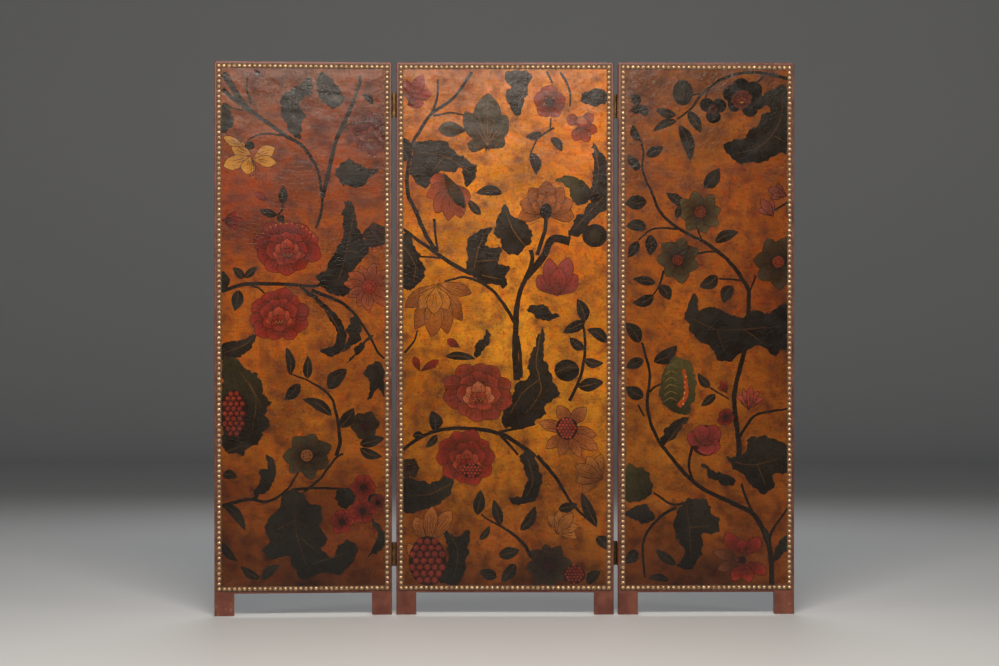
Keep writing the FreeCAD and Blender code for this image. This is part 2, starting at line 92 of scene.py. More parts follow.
def measured(panel):
    """One panel's matrix and the places on it that the soft pieces need, in millimetres."""
    joint = joints.get(BODIES[panel])
    pin = Vector(joint["pos_m"]) if joint else Vector((0, panel_plane, 0))
    pin.z = 0
    turn = math.radians(180 - joint["range_deg"][1]) if joint else 0.0
    # the pin stands off the panel's plane by as much on a wing as on the centre panel
    standoff = Vector((0, pin.y - panel_plane, 0))
    turned = Matrix.Translation(pin) @ Matrix.Rotation(turn, 4, "Z") @ Matrix.Translation(-standoff)
    low, high = square_box(panel + "_canvas", turned.inverted())
    place = turned @ Matrix.Translation(((low[0] + high[0]) / 2 * MM, 0, 0))
    layers = ("canvas", "lining", "braid", "tacks")
    boxes = {part: square_box(f"{panel}_{part}", place.inverted()) for part in layers}
    return {"place": place, **boxes}


panels = {panel: measured(panel) for panel in BODIES}
for panel, sizes in panels.items():
    print(panel, "canvas, mm:", [round(float(v), 1) for corner in sizes["canvas"] for v in corner])

# %% [markdown]
# Colours are written as people pick them, in sRGB hex. Shaders and colour attributes want linear light, so
# one function turns every colour. Another adds a node with its settings and links, and is used for every
# tree here.

# %% Helpers for colours and nodes
def linear(code):
    """A hex colour as linear red, green, blue and 1."""
    parts = [int(code[i:i + 2], 16) / 255 for i in (1, 3, 5)]
    return tuple(c / 12.92 if c <= 0.04045 else ((c + 0.055) / 1.055) ** 2.4 for c in parts) + (1.0,)


def add(tree, kind, inputs=None, **settings):
    """Adds a node; an input's value is a number or colour to set, or another node's output to link."""
    node = tree.nodes.new(kind)
    for name, value in settings.items():
        setattr(node, name, value)
    for name, value in (inputs or {}).items():
        if isinstance(value, bpy.types.NodeSocket):
            tree.links.new(value, node.inputs[name])
        else:
            node.inputs[name].default_value = value
    return node


def new_material(name):
    """A named material with its Principled shader, its tree and its Object coordinates."""
    material = bpy.data.materials.new(name)
    material.use_nodes = True
    tree = material.node_tree
    coords = add(tree, "ShaderNodeTexCoord").outputs["Object"]
    return material, tree, tree.nodes["Principled BSDF"], coords


def speckle(tree, coords, size_mm, stretch=(1, 1, 1), detail=3.0):
    """Noise whose blotches are about size_mm across, squeezed or stretched along each axis."""
    scaled = add(tree, "ShaderNodeMapping", {"Vector": coords, "Scale": stretch})
    return add(tree, "ShaderNodeTexNoise", {"Vector": scaled.outputs[0], "Scale": 1 / (size_mm * MM),
                                            "Detail": detail}).outputs["Fac"]


def between(tree, value, low, high, to_low=0.0, to_high=1.0):
    """Spreads what lies between low and high over another range, and holds it there."""
    return add(tree, "ShaderNodeMapRange",
               {"Value": value, "From Min": low, "From Max": high,
                "To Min": to_low, "To Max": to_high}).outputs["Result"]


def blend(tree, amount, first, second, mode="MIX"):
    """Mixes two colours, each a hex code or a socket."""
    node = add(tree, "ShaderNodeMix", data_type="RGBA", blend_type=mode)
    for index, value in ((0, amount), (6, first), (7, second)):
        if isinstance(value, bpy.types.NodeSocket):
            tree.links.new(value, node.inputs[index])
        else:
            node.inputs[index].default_value = linear(value) if isinstance(value, str) else value
    return node.outputs[2]


def maths(tree, operation, first, second=0.0):
    """One sum of two sockets or numbers."""
    return add(tree, "ShaderNodeMath", {0: first, 1: second}, operation=operation).outputs[0]


def bump(tree, shader, height, depth_mm, strength=0.6):
    """Makes a height, 0 to 1, stand up to depth_mm out of a surface in its shading."""
    relief = add(tree, "ShaderNodeBump",
                 {"Height": height, "Distance": depth_mm * MM, "Strength": strength})
    tree.links.new(relief.outputs[0], shader.inputs["Normal"])


print("helpers ready")

# %% [markdown]
# **Painted wood.** The frame is a plain softwood or beech, painted red-brown by hand. Paint on wood keeps a
# hint of the grain, wears thin where hands and shoes touch it, and chips in small flakes. The grain has to
# run along each piece, so stiles and rails get one material each, the same but for the way the noise is
# stretched.

# %% Painted wood, bare wood
def painted_wood(name, along):
    """Red-brown paint on wood: satin, so the light slides over it; small chips show a pale primer."""
    material, tree, shader, coords = new_material(name)
    grain_stretch = tuple(0.05 if axis == along else 1.0 for axis in "xyz")
    grain = speckle(tree, coords, 2.5, grain_stretch, 4.0)
    patches = speckle(tree, coords, 45)
    flakes = speckle(tree, coords, 5, (1, 1, 0.6), 5.0)
    worn = speckle(tree, coords, 70, (1, 1, 0.7), 2.0)
    body = blend(tree, between(tree, patches, 0.35, 0.7), "#54261A", "#6E3A28")
    body = blend(tree, between(tree, grain, 0.45, 0.75, 0.0, 0.35), body, "#2A140F")
    chipped = maths(tree, "MULTIPLY", between(tree, flakes, 0.66, 0.7), between(tree, worn, 0.5, 0.62))
    body = blend(tree, maths(tree, "MULTIPLY", chipped, 0.8), body, "#A88468")
    tree.links.new(body, shader.inputs["Base Color"])
    tree.links.new(between(tree, patches, 0.3, 0.7, 0.32, 0.52), shader.inputs["Roughness"])
    bump(tree, shader, maths(tree, "SUBTRACT", grain, maths(tree, "MULTIPLY", chipped, 0.8)), 0.4)
    return material


def bare_wood(name):
    """Beech pegs, left bare and darkened by a century of handling: no gloss, close straight grain."""
    material, tree, shader, coords = new_material(name)
    grain = speckle(tree, coords, 1.5, (1, 0.1, 1), 4.0)
    tree.links.new(blend(tree, grain, "#6A4328", "#A07248"), shader.inputs["Base Color"])
    shader.inputs["Roughness"].default_value = 0.6
    bump(tree, shader, grain, 0.2)
    return material


stile_paint = painted_wood("red-brown_oil_paint_on_beech_stiles", "z")
rail_paint = painted_wood("red-brown_oil_paint_on_beech_rails", "x")
peg_wood = bare_wood("aged_beech_pegs")

# %% [markdown]
# **Metals.** The nails and hinges are brass that has gone brown, bright only where it is rubbed. The lining
# tacks are blued steel with specks of rust. All three are one kind of surface with other colours: a bare
# metal whose tarnish is a rougher, darker patch, so one function makes them.

# %% Tarnished metals
def tarnished(name, bright, dull, blotch_mm, smooth_to, rough_to):
    """Bare metal under uneven tarnish; the clean parts shine, the brown parts hardly do."""
    material, tree, shader, coords = new_material(name)
    blotches = speckle(tree, coords, blotch_mm, detail=4.0)
    fine = speckle(tree, coords, blotch_mm / 8, detail=2.0)
    tarnish = between(tree, maths(tree, "ADD", blotches, maths(tree, "MULTIPLY", fine, 0.3)), 0.5, 0.8)
    tree.links.new(blend(tree, tarnish, bright, dull), shader.inputs["Base Color"])
    tree.links.new(between(tree, tarnish, 0, 1, smooth_to, rough_to), shader.inputs["Roughness"])
    shader.inputs["Metallic"].default_value = 1.0
    bump(tree, shader, fine, 0.15, 0.4)
    return material


nail_brass = tarnished("antiqued_brass_nails", "#DCBC92", "#967656", 7, 0.42, 0.58)
hinge_brass = tarnished("aged_cast_brass_hinges", "#75603C", "#3C3020", 14, 0.38, 0.62)
tack_steel = tarnished("blued_steel_tacks", "#5A5A5E", "#3A2A22", 6, 0.35, 0.7)

# %% [markdown]
# The CAD pieces that stay as they are only need their finish: their shape is right already.

# %% Finishes for the CAD pieces that stay
FINISHES = (("stile", stile_paint), ("rail", rail_paint), ("pegs", peg_wood), ("screws_in", hinge_brass),
            ("_leaf", hinge_brass), ("_pin", hinge_brass))
for name, node in nodes.items():
    for ending, finish in FINISHES:
        if ending in name:
            node.data.materials.clear()
            node.data.materials.append(finish)
print("finished", sum(any(e in n for e, _ in FINISHES) for n in nodes), "CAD nodes")

# %% [markdown]
# **The painting.** A real one is oil on sized canvas: a warm ground laid first, then dark stems and leaves,
# then flowers, each petal edged with a fine dark line, and varnish over all. An image texture would give
# it, but so does a mesh that is cut along the outline of every stroke, with the colour kept on the mesh.
# That stays sharp from near by and needs no picture. So a small painter's kit comes first: strokes are
# outlines, later ones lie on top.

# %% Paints
LEAF, LEAF_PALE, VEIN, STALK = "#110F0B", "#221F18", "#2C2719", "#17120C"
LINE, HEART, SEED = "#1E0E0A", "#241010", "#8A5A2C"
RED, DEEP_RED, PALE_RED = "#7E2418", "#330E0B", "#943722"
TAN, OCHRE, GOLD = "#9C5C34", "#8A561E", "#A8742A"
OLIVE, OLIVE_DARK = "#3E391C", "#242111"


def wash(near, far, start, end):
    """Paint that goes from one colour to another, from one point towards the next."""
    a, b = np.array(linear(near)[:3]), np.array(linear(far)[:3])
    origin, along = np.array(start, float), np.array(end, float) - np.array(start, float)

    def at(points):
        share = np.clip((points - origin) @ along / (along @ along), 0, 1)[:, None]
        return a + (b - a) * share
    return at


def halo(near, far, centre, radius):
    """Paint that goes from one colour at a centre to another at a radius."""
    a, b = np.array(linear(near)[:3]), np.array(linear(far)[:3])

    def at(points):
        share = np.clip(np.linalg.norm(points - np.array(centre, float), axis=1) / radius, 0, 1)[:, None]
        return a + (b - a) * share ** 1.5
    return at


def plain(code):
    """One colour all over."""
    return lambda points: np.tile(np.array(linear(code)[:3]), (len(points), 1))


# %% Curves through a few points
def smooth(points, closed=False, step=5.0):
    """A curve through a few given points, as points about a step apart."""
    known = [Vector(point) for point in points]
    count = len(known)
    curve = []
    for i in range(count if closed else count - 1):
        here, there = known[i], known[(i + 1) % count]
        before = known[i - 1] if closed or i else here
        after = known[(i + 2) % count] if closed or i + 2 < count else there
        pieces = max(1, round((there - here).length / step))
        for k in range(pieces):
            t = k / pieces
            squared = (2 * before - 5 * here + 4 * there - after) * t ** 2
            cubed = (3 * here - before - 3 * there + after) * t ** 3
            curve.append((2 * here + (there - before) * t + squared + cubed) / 2)
    return curve if closed else curve + [known[-1]]


def beside(direction):
    """The unit direction a quarter turn anticlockwise from another."""
    return Vector((-direction.y, direction.x)).normalized()


def ribbon(spine, widths):
    """The outline of a stroke along a curve, as wide as widths(share of its length)."""
    left, right = [], []
    for i, point in enumerate(spine):
        side = beside(spine[min(i + 1, len(spine) - 1)] - spine[max(i - 1, 0)])
        half = widths(i / (len(spine) - 1)) / 2
        left.append(point + side * half)
        right.append(point - side * half)
    return left + right[::-1]


def shrunk(outline, by):
    """An outline moved inwards, for a fill inside its own dark line."""
    count = len(outline)
    turn = sum(outline[i - 1].x * outline[i].y - outline[i].x * outline[i - 1].y for i in range(count))
    sign = by if turn > 0 else -by
    return [outline[i] + beside(outline[(i + 1) % count] - outline[i - 1]) * sign for i in range(count)]


# %% [markdown]
# Each kind of leaf and flower is drawn once, as a rule with a few sizes, and used all over the screen. They
# are the plain shapes of a decorator's pattern book: an almond leaf, a rose in three rings, a lily in a
# fan, a berry of round cells. A fixed seed gives each one its own small faults, so that no two are the
# same.

# %% The painter's kit
def almond(base, tip, width, bend, full):
    """A leaf's or a petal's outline; full above 1 puts its widest place nearer the tip."""
    base, tip = Vector(base), Vector(tip)
    along = tip - base
    side = beside(along)
    steps = max(5, round(along.length / 6))

    def edge(sign, t):
        half = width / 2 * math.sin(math.pi * t ** full) ** 0.8
        return base + along * t + side * (sign * half + bend * along.length * 4 * t * (1 - t))
    out = [edge(1, k / steps) for k in range(steps + 1)]
    return out + [edge(-1, k / steps) for k in range(steps - 1, 0, -1)]


WAVE, TOOTH, HAND = 26, 11, 1.8
# this noise starts from the clock unless it is given a seed
noise.seed_set(3)


def unsteady(outline, ragged):
    """An outline as a hand leaves it: slow small waves everywhere, and teeth along a ragged leaf."""
    moved = []
    for point in outline:
        x, z = point[0], point[1]
        slow = noise.noise_vector(Vector((x / WAVE, z / WAVE, 3.0)))
        teeth = noise.noise_vector(Vector((x / TOOTH, z / TOOTH, 8.0)))
        moved.append(Vector((x + (HAND + ragged) * slow.x + ragged * teeth.x,
                             z + (HAND + ragged) * slow.y + ragged * teeth.y)))
    return moved


class Painting:
    """Strokes on one panel, in mm: x from its middle, z from the floor. Later strokes cover earlier ones."""

    def __init__(self, seed):
        self.strokes = []
        self.hand = random.Random(seed)

    def lay(self, outline, paint, cover=0.985, ragged=0.0):
        paint = plain(paint) if isinstance(paint, str) else paint
        self.strokes.append((unsteady(outline, ragged), paint, cover))

    def stem(self, points, wide=8.0, thin=3.0, paint=STALK):
        """A stem's widths are given as its core's; the brush adds nearly half again."""
        self.lay(ribbon(smooth(points), lambda t: 1.45 * (wide + (thin - wide) * t)), paint)

    def line(self, points, width=1.6, paint=LINE):
        """A fine brush line that swells and ends in a point."""
        def swell(t):
            return 0.5 + width * math.sin(math.pi * min(1, 0.15 + t * 0.85))
        self.lay(ribbon(smooth(points), swell), paint, 0.8)

    def blob(self, points, veins=(), paint=None, ragged=6.0):
        """A large leaf or a clump of leaves, drawn freely, with a ragged edge."""
        top, foot = max(points, key=lambda p: p[1]), min(points, key=lambda p: p[1])
        self.lay(smooth(points, closed=True, step=3.5), paint or wash(LEAF_PALE, LEAF, top, foot),
                 ragged=ragged)
        for vein in veins:
            self.line(vein, 2.2, VEIN)

    def leaf(self, base, tip, width=26, bend=0.08, dark=LEAF, pale=LEAF_PALE):
        self.lay(almond(base, tip, width, bend, 0.85), wash(dark, pale, base, tip))
        base, tip = Vector(base), Vector(tip)
        middle = base.lerp(tip, 0.5) + beside(tip - base) * bend * (tip - base).length
        self.line([base, middle, base.lerp(tip, 0.85)], 1.8, VEIN)

    def leaves(self, *rows):
        for base, tip, width in rows:
            self.leaf(base, tip, width, self.hand.uniform(-0.12, 0.12))

    def petal(self, base, tip, width, inner=DEEP_RED, outer=RED, bend=0.0, edge=LINE, ribs=2, full=1.35):
        """A petal inside its own dark line, ribbed; full under 1 makes it a pointed one."""
        outline = almond(base, tip, width, bend, full)
        self.lay(outline, edge, 0.9)
        self.lay(shrunk(outline, min(1.8, width / 10)), wash(inner, outer, base, tip))
        base, tip = Vector(base), Vector(tip)
        side = beside(tip - base) * width
        for k in range(ribs):
            away = side * (0.22 * (k - (ribs - 1) / 2))
            self.line([base.lerp(tip, 0.25) + away * 0.5,
                       base.lerp(tip, self.hand.uniform(0.6, 0.84)) + away], 1.3, edge)

    def dot(self, centre, rx, rz=None, paint=SEED, line=0.0):
        rz = rz or rx
        count = 8 if rx < 4 else 16
        rim = [Vector((centre[0] + rx * math.cos(a), centre[1] + rz * math.sin(a)))
               for a in (2 * math.pi * k / count for k in range(count))]
        if line:
            self.lay(rim, LINE)
            rim = shrunk(rim, line)
        self.lay(rim, paint)

    def ring(self, centre, inner, outer, count, width, colours, turn=0.0, squash=1.0, ribs=2, full=1.35):
        """Petals all round a centre, from one radius to another."""
        for k in range(count):
            angle = turn + 2 * math.pi * (k + self.hand.uniform(-0.12, 0.12)) / count
            reach = outer * self.hand.uniform(0.9, 1.08)
            way = Vector((math.cos(angle), math.sin(angle) * squash))
            start, end = Vector(centre) + way * inner, Vector(centre) + way * reach
            self.petal(start, end, width * self.hand.uniform(0.9, 1.1), *colours,
                       self.hand.uniform(-0.1, 0.1), ribs=ribs, full=full)

    def rose(self, centre, rx, rz, colours=(DEEP_RED, RED, PALE_RED), turn=0.3):
        """A full rose: two rings of petals with dark strokes where they fold, and a cup of paler ones."""
        deep, mid, pale = colours
        squash = rz / rx
        x, z = centre
        self.ring(centre, rx * 0.3, rx, 10, rx * 0.64, (deep, mid), turn, squash, ribs=4)
        for k in range(26):
            angle = turn + 2 * math.pi * (k + self.hand.uniform(-0.3, 0.3)) / 26
            start, end = self.hand.uniform(0.5, 0.6), self.hand.uniform(0.68, 0.9)
            self.line([(x + rx * start * math.cos(angle), z + rz * start * math.sin(angle)),
                       (x + rx * end * math.cos(angle + 0.08), z + rz * end * math.sin(angle + 0.08))],
                      1.8, deep)
        self.ring(centre, rx * 0.05, rx * 0.64, 7, rx * 0.54, (deep, mid), turn + 0.4, squash, ribs=3)
        self.lily((x, z - rz * 0.36), (x, z + rz * 0.34), rx * 0.42, 5, 74, (deep, pale), 3)
        self.lily((x, z - rz * 0.36), (x, z + rz * 0.04), rx * 0.3, 4, 80, (deep, mid), 2)
        for k in range(6):
            self.dot((x + rx * 0.05 * (k - 2.5), z - rz * 0.3 + rz * 0.05 * (k % 2)), 1.8)

    def daisy(self, centre, radius, count, colours, heart, heart_size=0.3, turn=0.0, full=1.35):
        """An open flower: one ring of long petals round a seeded heart."""
        self.ring(centre, radius * 0.12, radius, count, radius * 5.2 / count, colours, turn, ribs=3,
                  full=full)
        self.dot(centre, radius * heart_size, None, heart, 1.5)
        for k in range(7):
            a = 2 * math.pi * k / 7
            self.dot((centre[0] + radius * heart_size * 0.55 * math.cos(a),
                      centre[1] + radius * heart_size * 0.55 * math.sin(a)), 2, None, LINE)

    def lily(self, base, tip, width, count=5, spread=75, colours=(DEEP_RED, RED), ribs=2):
        """A fan of petals from one base: the outer ones first, the middle one on top."""
        base, along = Vector(base), Vector(tip) - Vector(base)
        order = sorted(range(count), key=lambda k: -abs(k - (count - 1) / 2))
        for k in order:
            share = 2 * k / (count - 1) - 1 if count > 1 else 0
            way = along * (1 - 0.22 * abs(share))
            way.rotate(Matrix.Rotation(math.radians(-spread * share), 2))
            self.petal(base, base + way, width, *colours, 0.16 * share, ribs=ribs)

    def berry(self, centre, rx, rz, cell=8.0, pale=PALE_RED, deep=DEEP_RED):
        """A raspberry or seed head: round cells, row on row."""
        self.dot(centre, rx, rz, LINE)
        rows = int(rz / (cell * 0.8))
        for row in range(-rows, rows + 1):
            z = row * cell * 0.86
            if abs(z) > rz * 0.95:
                continue
            reach = rx * math.sqrt(1 - (z / rz) ** 2) - cell * 0.45
            count = max(1, int(2 * reach / cell) + 1)
            # every other row sits in the gaps of the one below
            count -= (count + row) % 2 if count > 1 else 0
            for k in range(count):
                x = (k - (count - 1) / 2) * cell
                spot = (centre[0] + x, centre[1] + z)
                self.dot(spot, cell * 0.47, None,
                         halo(pale, deep, (spot[0] - 1, spot[1] + 1.5), cell * 0.5))

    def stamens(self, base, tips, paint=LINE):
        for tip in tips:
            self.line([base, Vector(base).lerp(Vector(tip), 0.5) + Vector((1.5, 1)), tip], 1.4, paint)
            self.dot(tip, 2.6, None, paint)

    def hatch(self, centre, rx, rz, count, slope=0.5, paint=LINE):
        """Short slanting strokes that shade a petal or a leaf."""
        for k in range(count):
            x = centre[0] + rx * (2 * (k + 0.5) / count - 1)
            half = rz * math.sqrt(1 - ((x - centre[0]) / rx) ** 2)
            self.line([(x - slope * half, centre[1] - half), (x + slope * half, centre[1] + half)],
                      1.5, paint)


print("painter's kit ready")


# %% [markdown]
# **The left wing.** A branch climbs from the foot to the upper corner, with two full roses at its middle,
# an ochre flower above them, and a berry, an open flower and a large ragged leaf below.

# %% Left wing
left = Painting(11)
for points, wide, thin in (
    ([(37, 1136), (54, 1190), (55, 1225), (44, 1300), (24, 1340), (0, 1375), (-60, 1413), (-138, 1468),
      (-207, 1517),
      (-237, 1542)], 5, 9),
    ([(-148, 1473), (-183, 1512), (-212, 1556), (-232, 1590)], 10, 14),
    ([(-150, 1478), (-222, 1488)], 4, 2), ([(-152, 1498), (-165, 1541), (-162, 1585)], 4, 3),
    ([(-35, 1403), (-114, 1413), (-163, 1394)], 5, 3),
    ([(56, 1228), (66, 1266), (79, 1325), (98, 1399), (138, 1487), (162, 1550), (167, 1585)], 9, 7),
    ([(103, 1408), (123, 1433), (152, 1448)], 4, 3),
    ([(-235, 952), (-172, 971), (-75, 973), (24, 966), (53, 971)], 8, 6),
    ([(-153, 966), (-128, 959), (-109, 939)], 4, 3),
    ([(24, 954), (123, 910), (181, 841), (216, 777), (236, 753)], 8, 4),
    ([(95, 468), (107, 517), (93, 605), (73, 650), (14, 689), (-35, 708)], 8, 3),
    ([(-237, 322), (-163, 342), (-104, 335), (-50, 367), (-15, 420)], 8, 4),
    ([(0, 362), (49, 401), (93, 460), (117, 475)], 5, 4), ([(-35, 369), (34, 374), (147, 369)], 6, 4),
):
    left.stem(points, wide, thin)
left.blob([(26, 1575), (24, 1537), (-10, 1505), (7, 1464), (-5, 1440), (-5, 1400), (-40, 1418), (-66, 1487),
           (-58, 1530), (-15, 1556)], [[(-12, 1415), (-30, 1470), (-20, 1530), (10, 1560)]])
left.blob([(54, 1595), (39, 1541), (58, 1507), (88, 1487), (118, 1510), (98, 1556)],
          [[(110, 1500), (75, 1540)]])
left.blob([(93, 1286), (98, 1315), (135, 1335), (181, 1315), (221, 1310), (238, 1322), (201, 1291),
           (167, 1256),
           (122, 1264)], [[(98, 1298), (150, 1297), (200, 1303)]])
left.blob([(-238, 1500), (-212, 1480), (-206, 1440), (-238, 1410)])
left.blob([(-240, 1005), (-216, 990), (-222, 958), (-240, 950)])
left.blob([(-138, 824), (-151, 787), (-173, 767), (-235, 750), (-235, 799), (-183, 809)],
          [[(-145, 815), (-180, 790), (-230, 772)]])
left.blob([(-15, 968), (30, 945), (75, 905), (110, 865), (128, 825), (118, 785), (85, 760), (50, 775),
           (85, 790),
           (98, 815), (90, 850), (60, 895), (20, 935)], [[(20, 940), (80, 880), (110, 820)]], ragged=3.0)
left.blob([(152, 880), (169, 851), (167, 821), (140, 790), (110, 772), (135, 812), (128, 850)])
left.blob([(200, 820), (188, 797), (160, 765), (127, 740), (160, 790)])
left.leaves(((-60, 1205), (-60, 1260), 28), ((-77, 1172), (-131, 1190), 24), ((-77, 1172), (-57, 1150), 22),
            ((-173, 988), (-205, 1022), 26), ((-172, 990), (-135, 1024), 22),
            ((-188, 955), (-200, 894), 35),
            ((-38, 705), (-50, 787), 28), ((12, 694), (14, 762), 28), ((-10, 679), (-54, 632), 35),
            ((73, 664), (127, 723), 45), ((83, 586), (-3, 635), 32), ((107, 551), (149, 608), 40),
            ((206, 1500), (170, 1530), 20), ((-126, 109), (-182, 146), 25), ((-123, 106), (-69, 151), 28),
            ((-237, 217), (-193, 161), 26), ((-237, 412), (-193, 408), 30), ((-237, 330), (-170, 249), 30))
left.stem([(-77, 1172), (-62, 1190), (-60, 1210)], 4, 3)
# the two clumps of ragged leaves
left.blob([(120, 1215), (150, 1195), (165, 1130), (194, 1075), (167, 1040), (132, 988), (142, 955),
           (112, 934),
           (63, 954), (39, 988), (68, 1023), (98, 1074), (117, 1121), (115, 1180)],
          [[(150, 1190), (135, 1110), (120, 1040), (95, 965)], [(128, 1075), (165, 1060)]])
left.blob([(-35, 369), (0, 359), (12, 332), (51, 322), (51, 264), (68, 229), (56, 195), (85, 168),
           (102, 207),
           (130, 217), (157, 195), (140, 152), (100, 121), (49, 126), (0, 104), (-30, 151), (-45, 175),
           (-95, 168), (-123, 192), (-99, 215), (-114, 256), (-99, 293), (-74, 310), (-62, 350)],
          [[(-20, 355), (-25, 280), (-10, 200), (20, 130)], [(-25, 280), (-80, 250)],
           [(-10, 230), (50, 180)],
           [(20, 150), (120, 180)]])
left.blob([(98, 365), (140, 367), (147, 335), (120, 308), (100, 330)])
left.blob([(236, 720), (211, 745), (184, 713), (194, 680), (192, 630), (216, 665), (237, 640)])
left.blob([(-113, 475), (-84, 450), (-82, 415), (-99, 377), (-148, 345), (-128, 391), (-130, 421),
           (-106, 430)])
left.blob([(201, 288), (240, 239), (236, 200), (190, 170), (216, 229)])
left.blob([(-236, 742), (-200, 756), (-172, 730), (-150, 718), (-128, 690), (-118, 655), (-98, 622),
           (-112, 590),
           (-96, 558), (-122, 535), (-130, 505), (-165, 498), (-172, 468), (-205, 492), (-236, 505)],
          [[(-190, 720), (-140, 640), (-150, 540)], [(-160, 690), (-120, 610)]],
          wash(OLIVE_DARK, LEAF, (-200, 700), (-120, 500)), 9.0)
left.leaf((-225, 480), (-150, 500), 34)
# flowers
for base, tip, width in (((-150, 1350), (-210, 1376), 46), ((-150, 1345), (-235, 1316), 44),
                         ((-150, 1340), (-82, 1372), 42), ((-150, 1338), (-78, 1326), 36),
                         ((-155, 1348), (-165, 1292), 44), ((-170, 1372), (-235, 1402), 30)):
    left.petal(base, tip, width, OCHRE, GOLD)
left.dot((-157, 1378), 15, 13, LEAF)
left.stamens((-150, 1340), [(-146, 1292), (-138, 1280), (-155, 1288), (-128, 1290)])
left.rose((198, 1415), 58, 68, ("#3A130E", "#6A281C", "#7A3826"))
left.daisy((-134, 1588), 22, 5, (DEEP_RED, RED), HEART)
left.lily((-238, 1158), (-175, 1158), 24, 3, 32)
left.petal((-100, 1215), (-143, 1240), 22)
left.rose((-48, 1079), 100, 82)
left.rose((-72, 882), 90, 78, turn=0.8)
for k in range(13):
    a = math.radians(25 + 11 * k)
    left.dot((-48 + 84 * math.cos(a), 1085 + 66 * math.sin(a)), 2.8)
left.daisy((213, 1118), 40, 5, (LEAF, "#2E2018"), HEART, 0.3, 0.6, 0.9)
left.daisy((192, 965), 74, 11, ("#5E2418", "#84401F"), "#6A2418", 0.3, 0.2, 0.95)
left.berry((-203, 592), 42, 70, 17)
left.daisy((10, 470), 74, 7, (LEAF, "#3A3220"), "#6A3E20", 0.26, 0.4, 0.88)
left.daisy((180, 556), 46, 6, (LEAF, OLIVE_DARK), HEART, 0.3, 0.1, 0.9)
left.leaves(((165, 500), (238, 520), 34), ((165, 490), (232, 465), 30))
for spot, size in (((176, 376), 40), ((113, 274), 38), ((174, 305), 40)):
    left.daisy(spot, size, 6, (DEEP_RED, RED), HEART, 0.26, spot[0])
left.leaf((190, 330), (222, 352), 26)
left.daisy((218, 330), 26, 5, (DEEP_RED, "#5C241C"), LEAF)
left.hatch((152, 259), 14, 14, 5)
print("left wing:", len(left.strokes), "strokes")

# %% [markdown]
# **The centre panel.** The same branch, wider: a dark bell flower and a red one at the top, a carnation and
# a red bud over a tangle of leaves, a lily and two roses in the middle, and a striped lily and a berry at
# the foot.

# %% Centre panel
centre = Painting(23)
for points, wide, thin in (
    ([(-200, 1069), (-228, 1108), (-268, 1199), (-285, 1235), (-287, 1298), (-273, 1381), (-245, 1432),
      (-217, 1472),
      (-149, 1523), (-98, 1596)], 9, 6),
    ([(-217, 1472), (-200, 1517), (-197, 1574)], 6, 4), ([(-211, 1466), (-160, 1476), (-109, 1466)], 5, 3),
    ([(123, 1599), (140, 1562)], 5, 4), ([(134, 1460), (134, 1426)], 4, 3),
    ([(162, 1596), (179, 1568), (191, 1534), (191, 1494)], 5, 4),
    ([(145, 1432), (100, 1404), (75, 1361)], 5, 3),
    ([(32, 853), (-2, 910), (-53, 967), (-120, 992), (-177, 980)], 8, 4),
    ([(35, 690), (30, 780), (32, 853), (35, 904), (44, 949), (61, 989), (80, 1040), (75, 1074)], 14, 8),
    ([(61, 989), (112, 1052), (140, 1105), (191, 1097)], 12, 18),
    ([(120, 1165), (117, 1131), (94, 1057)], 8, 8),
    ([(-300, 1134), (-234, 1086), (-160, 1035), (-98, 1001)], 6, 9),
    ([(-208, 1165), (-205, 1120), (-197, 1069)], 6, 4),
    ([(-251, 1054), (-217, 1052), (-188, 1049)], 4, 4), ([(38, 821), (46, 759), (46, 697)], 6, 8),
    ([(-296, 770), (-268, 804), (-256, 838)], 5, 3),
    ([(-300, 486), (-228, 532), (-137, 549), (-24, 535), (55, 492), (89, 464)], 7, 9),
    ([(-24, 535), (10, 543), (89, 561)], 6, 5), ([(-13, 526), (15, 498), (38, 470)], 6, 5),
    ([(227, 860), (236, 804), (224, 708), (190, 628)], 5, 7),
    ([(94, 468), (151, 401), (202, 321), (270, 259)], 8, 4),
    ([(77, 168), (55, 208), (4, 250), (-47, 279), (-70, 296)], 8, 3),
):
    centre.stem(points, wide, thin)
centre.blob([(66, 1562), (60, 1520), (38, 1471), (12, 1500), (10, 1545)], [[(60, 1552), (35, 1485)]])
centre.blob([(4, 1596), (72, 1596), (68, 1560), (10, 1556)])
centre.blob([(222, 1528), (253, 1545), (298, 1540), (298, 1511), (253, 1494), (230, 1505)])
centre.leaves(((108, 1418), (60, 1405), 26), ((75, 1361), (92, 1293), 32), ((134, 1404), (168, 1362), 26),
              ((-7, 1240), (-87, 1240), 32), ((-72, 1175), (-108, 1222), 26), ((-81, 293), (-72, 367), 34),
              ((-13, 264), (-33, 339), 30), ((46, 247), (89, 321), 32), ((-75, 219), (-45, 262), 20),
              ((-19, 174), (44, 190), 36), ((236, 860), (212, 930), 36), ((236, 860), (170, 830), 34),
              ((300, 800), (240, 840), 34), ((232, 750), (290, 740), 28), ((232, 780), (190, 815), 30),
              ((190, 740), (160, 700), 30), ((215, 670), (290, 685), 40), ((-175, 760), (-85, 752), 24),
              ((-240, 525), (-273, 526), 26), ((-205, 540), (-215, 600), 40),
              ((-200, 530), (-234, 492), 22),
              ((-24, 110), (-75, 130), 34), ((30, 150), (-10, 96), 36), ((270, 260), (225, 360), 34),
              ((270, 230), (300, 190), 34), ((157, 310), (213, 325), 30), ((240, 92), (280, 128), 34))
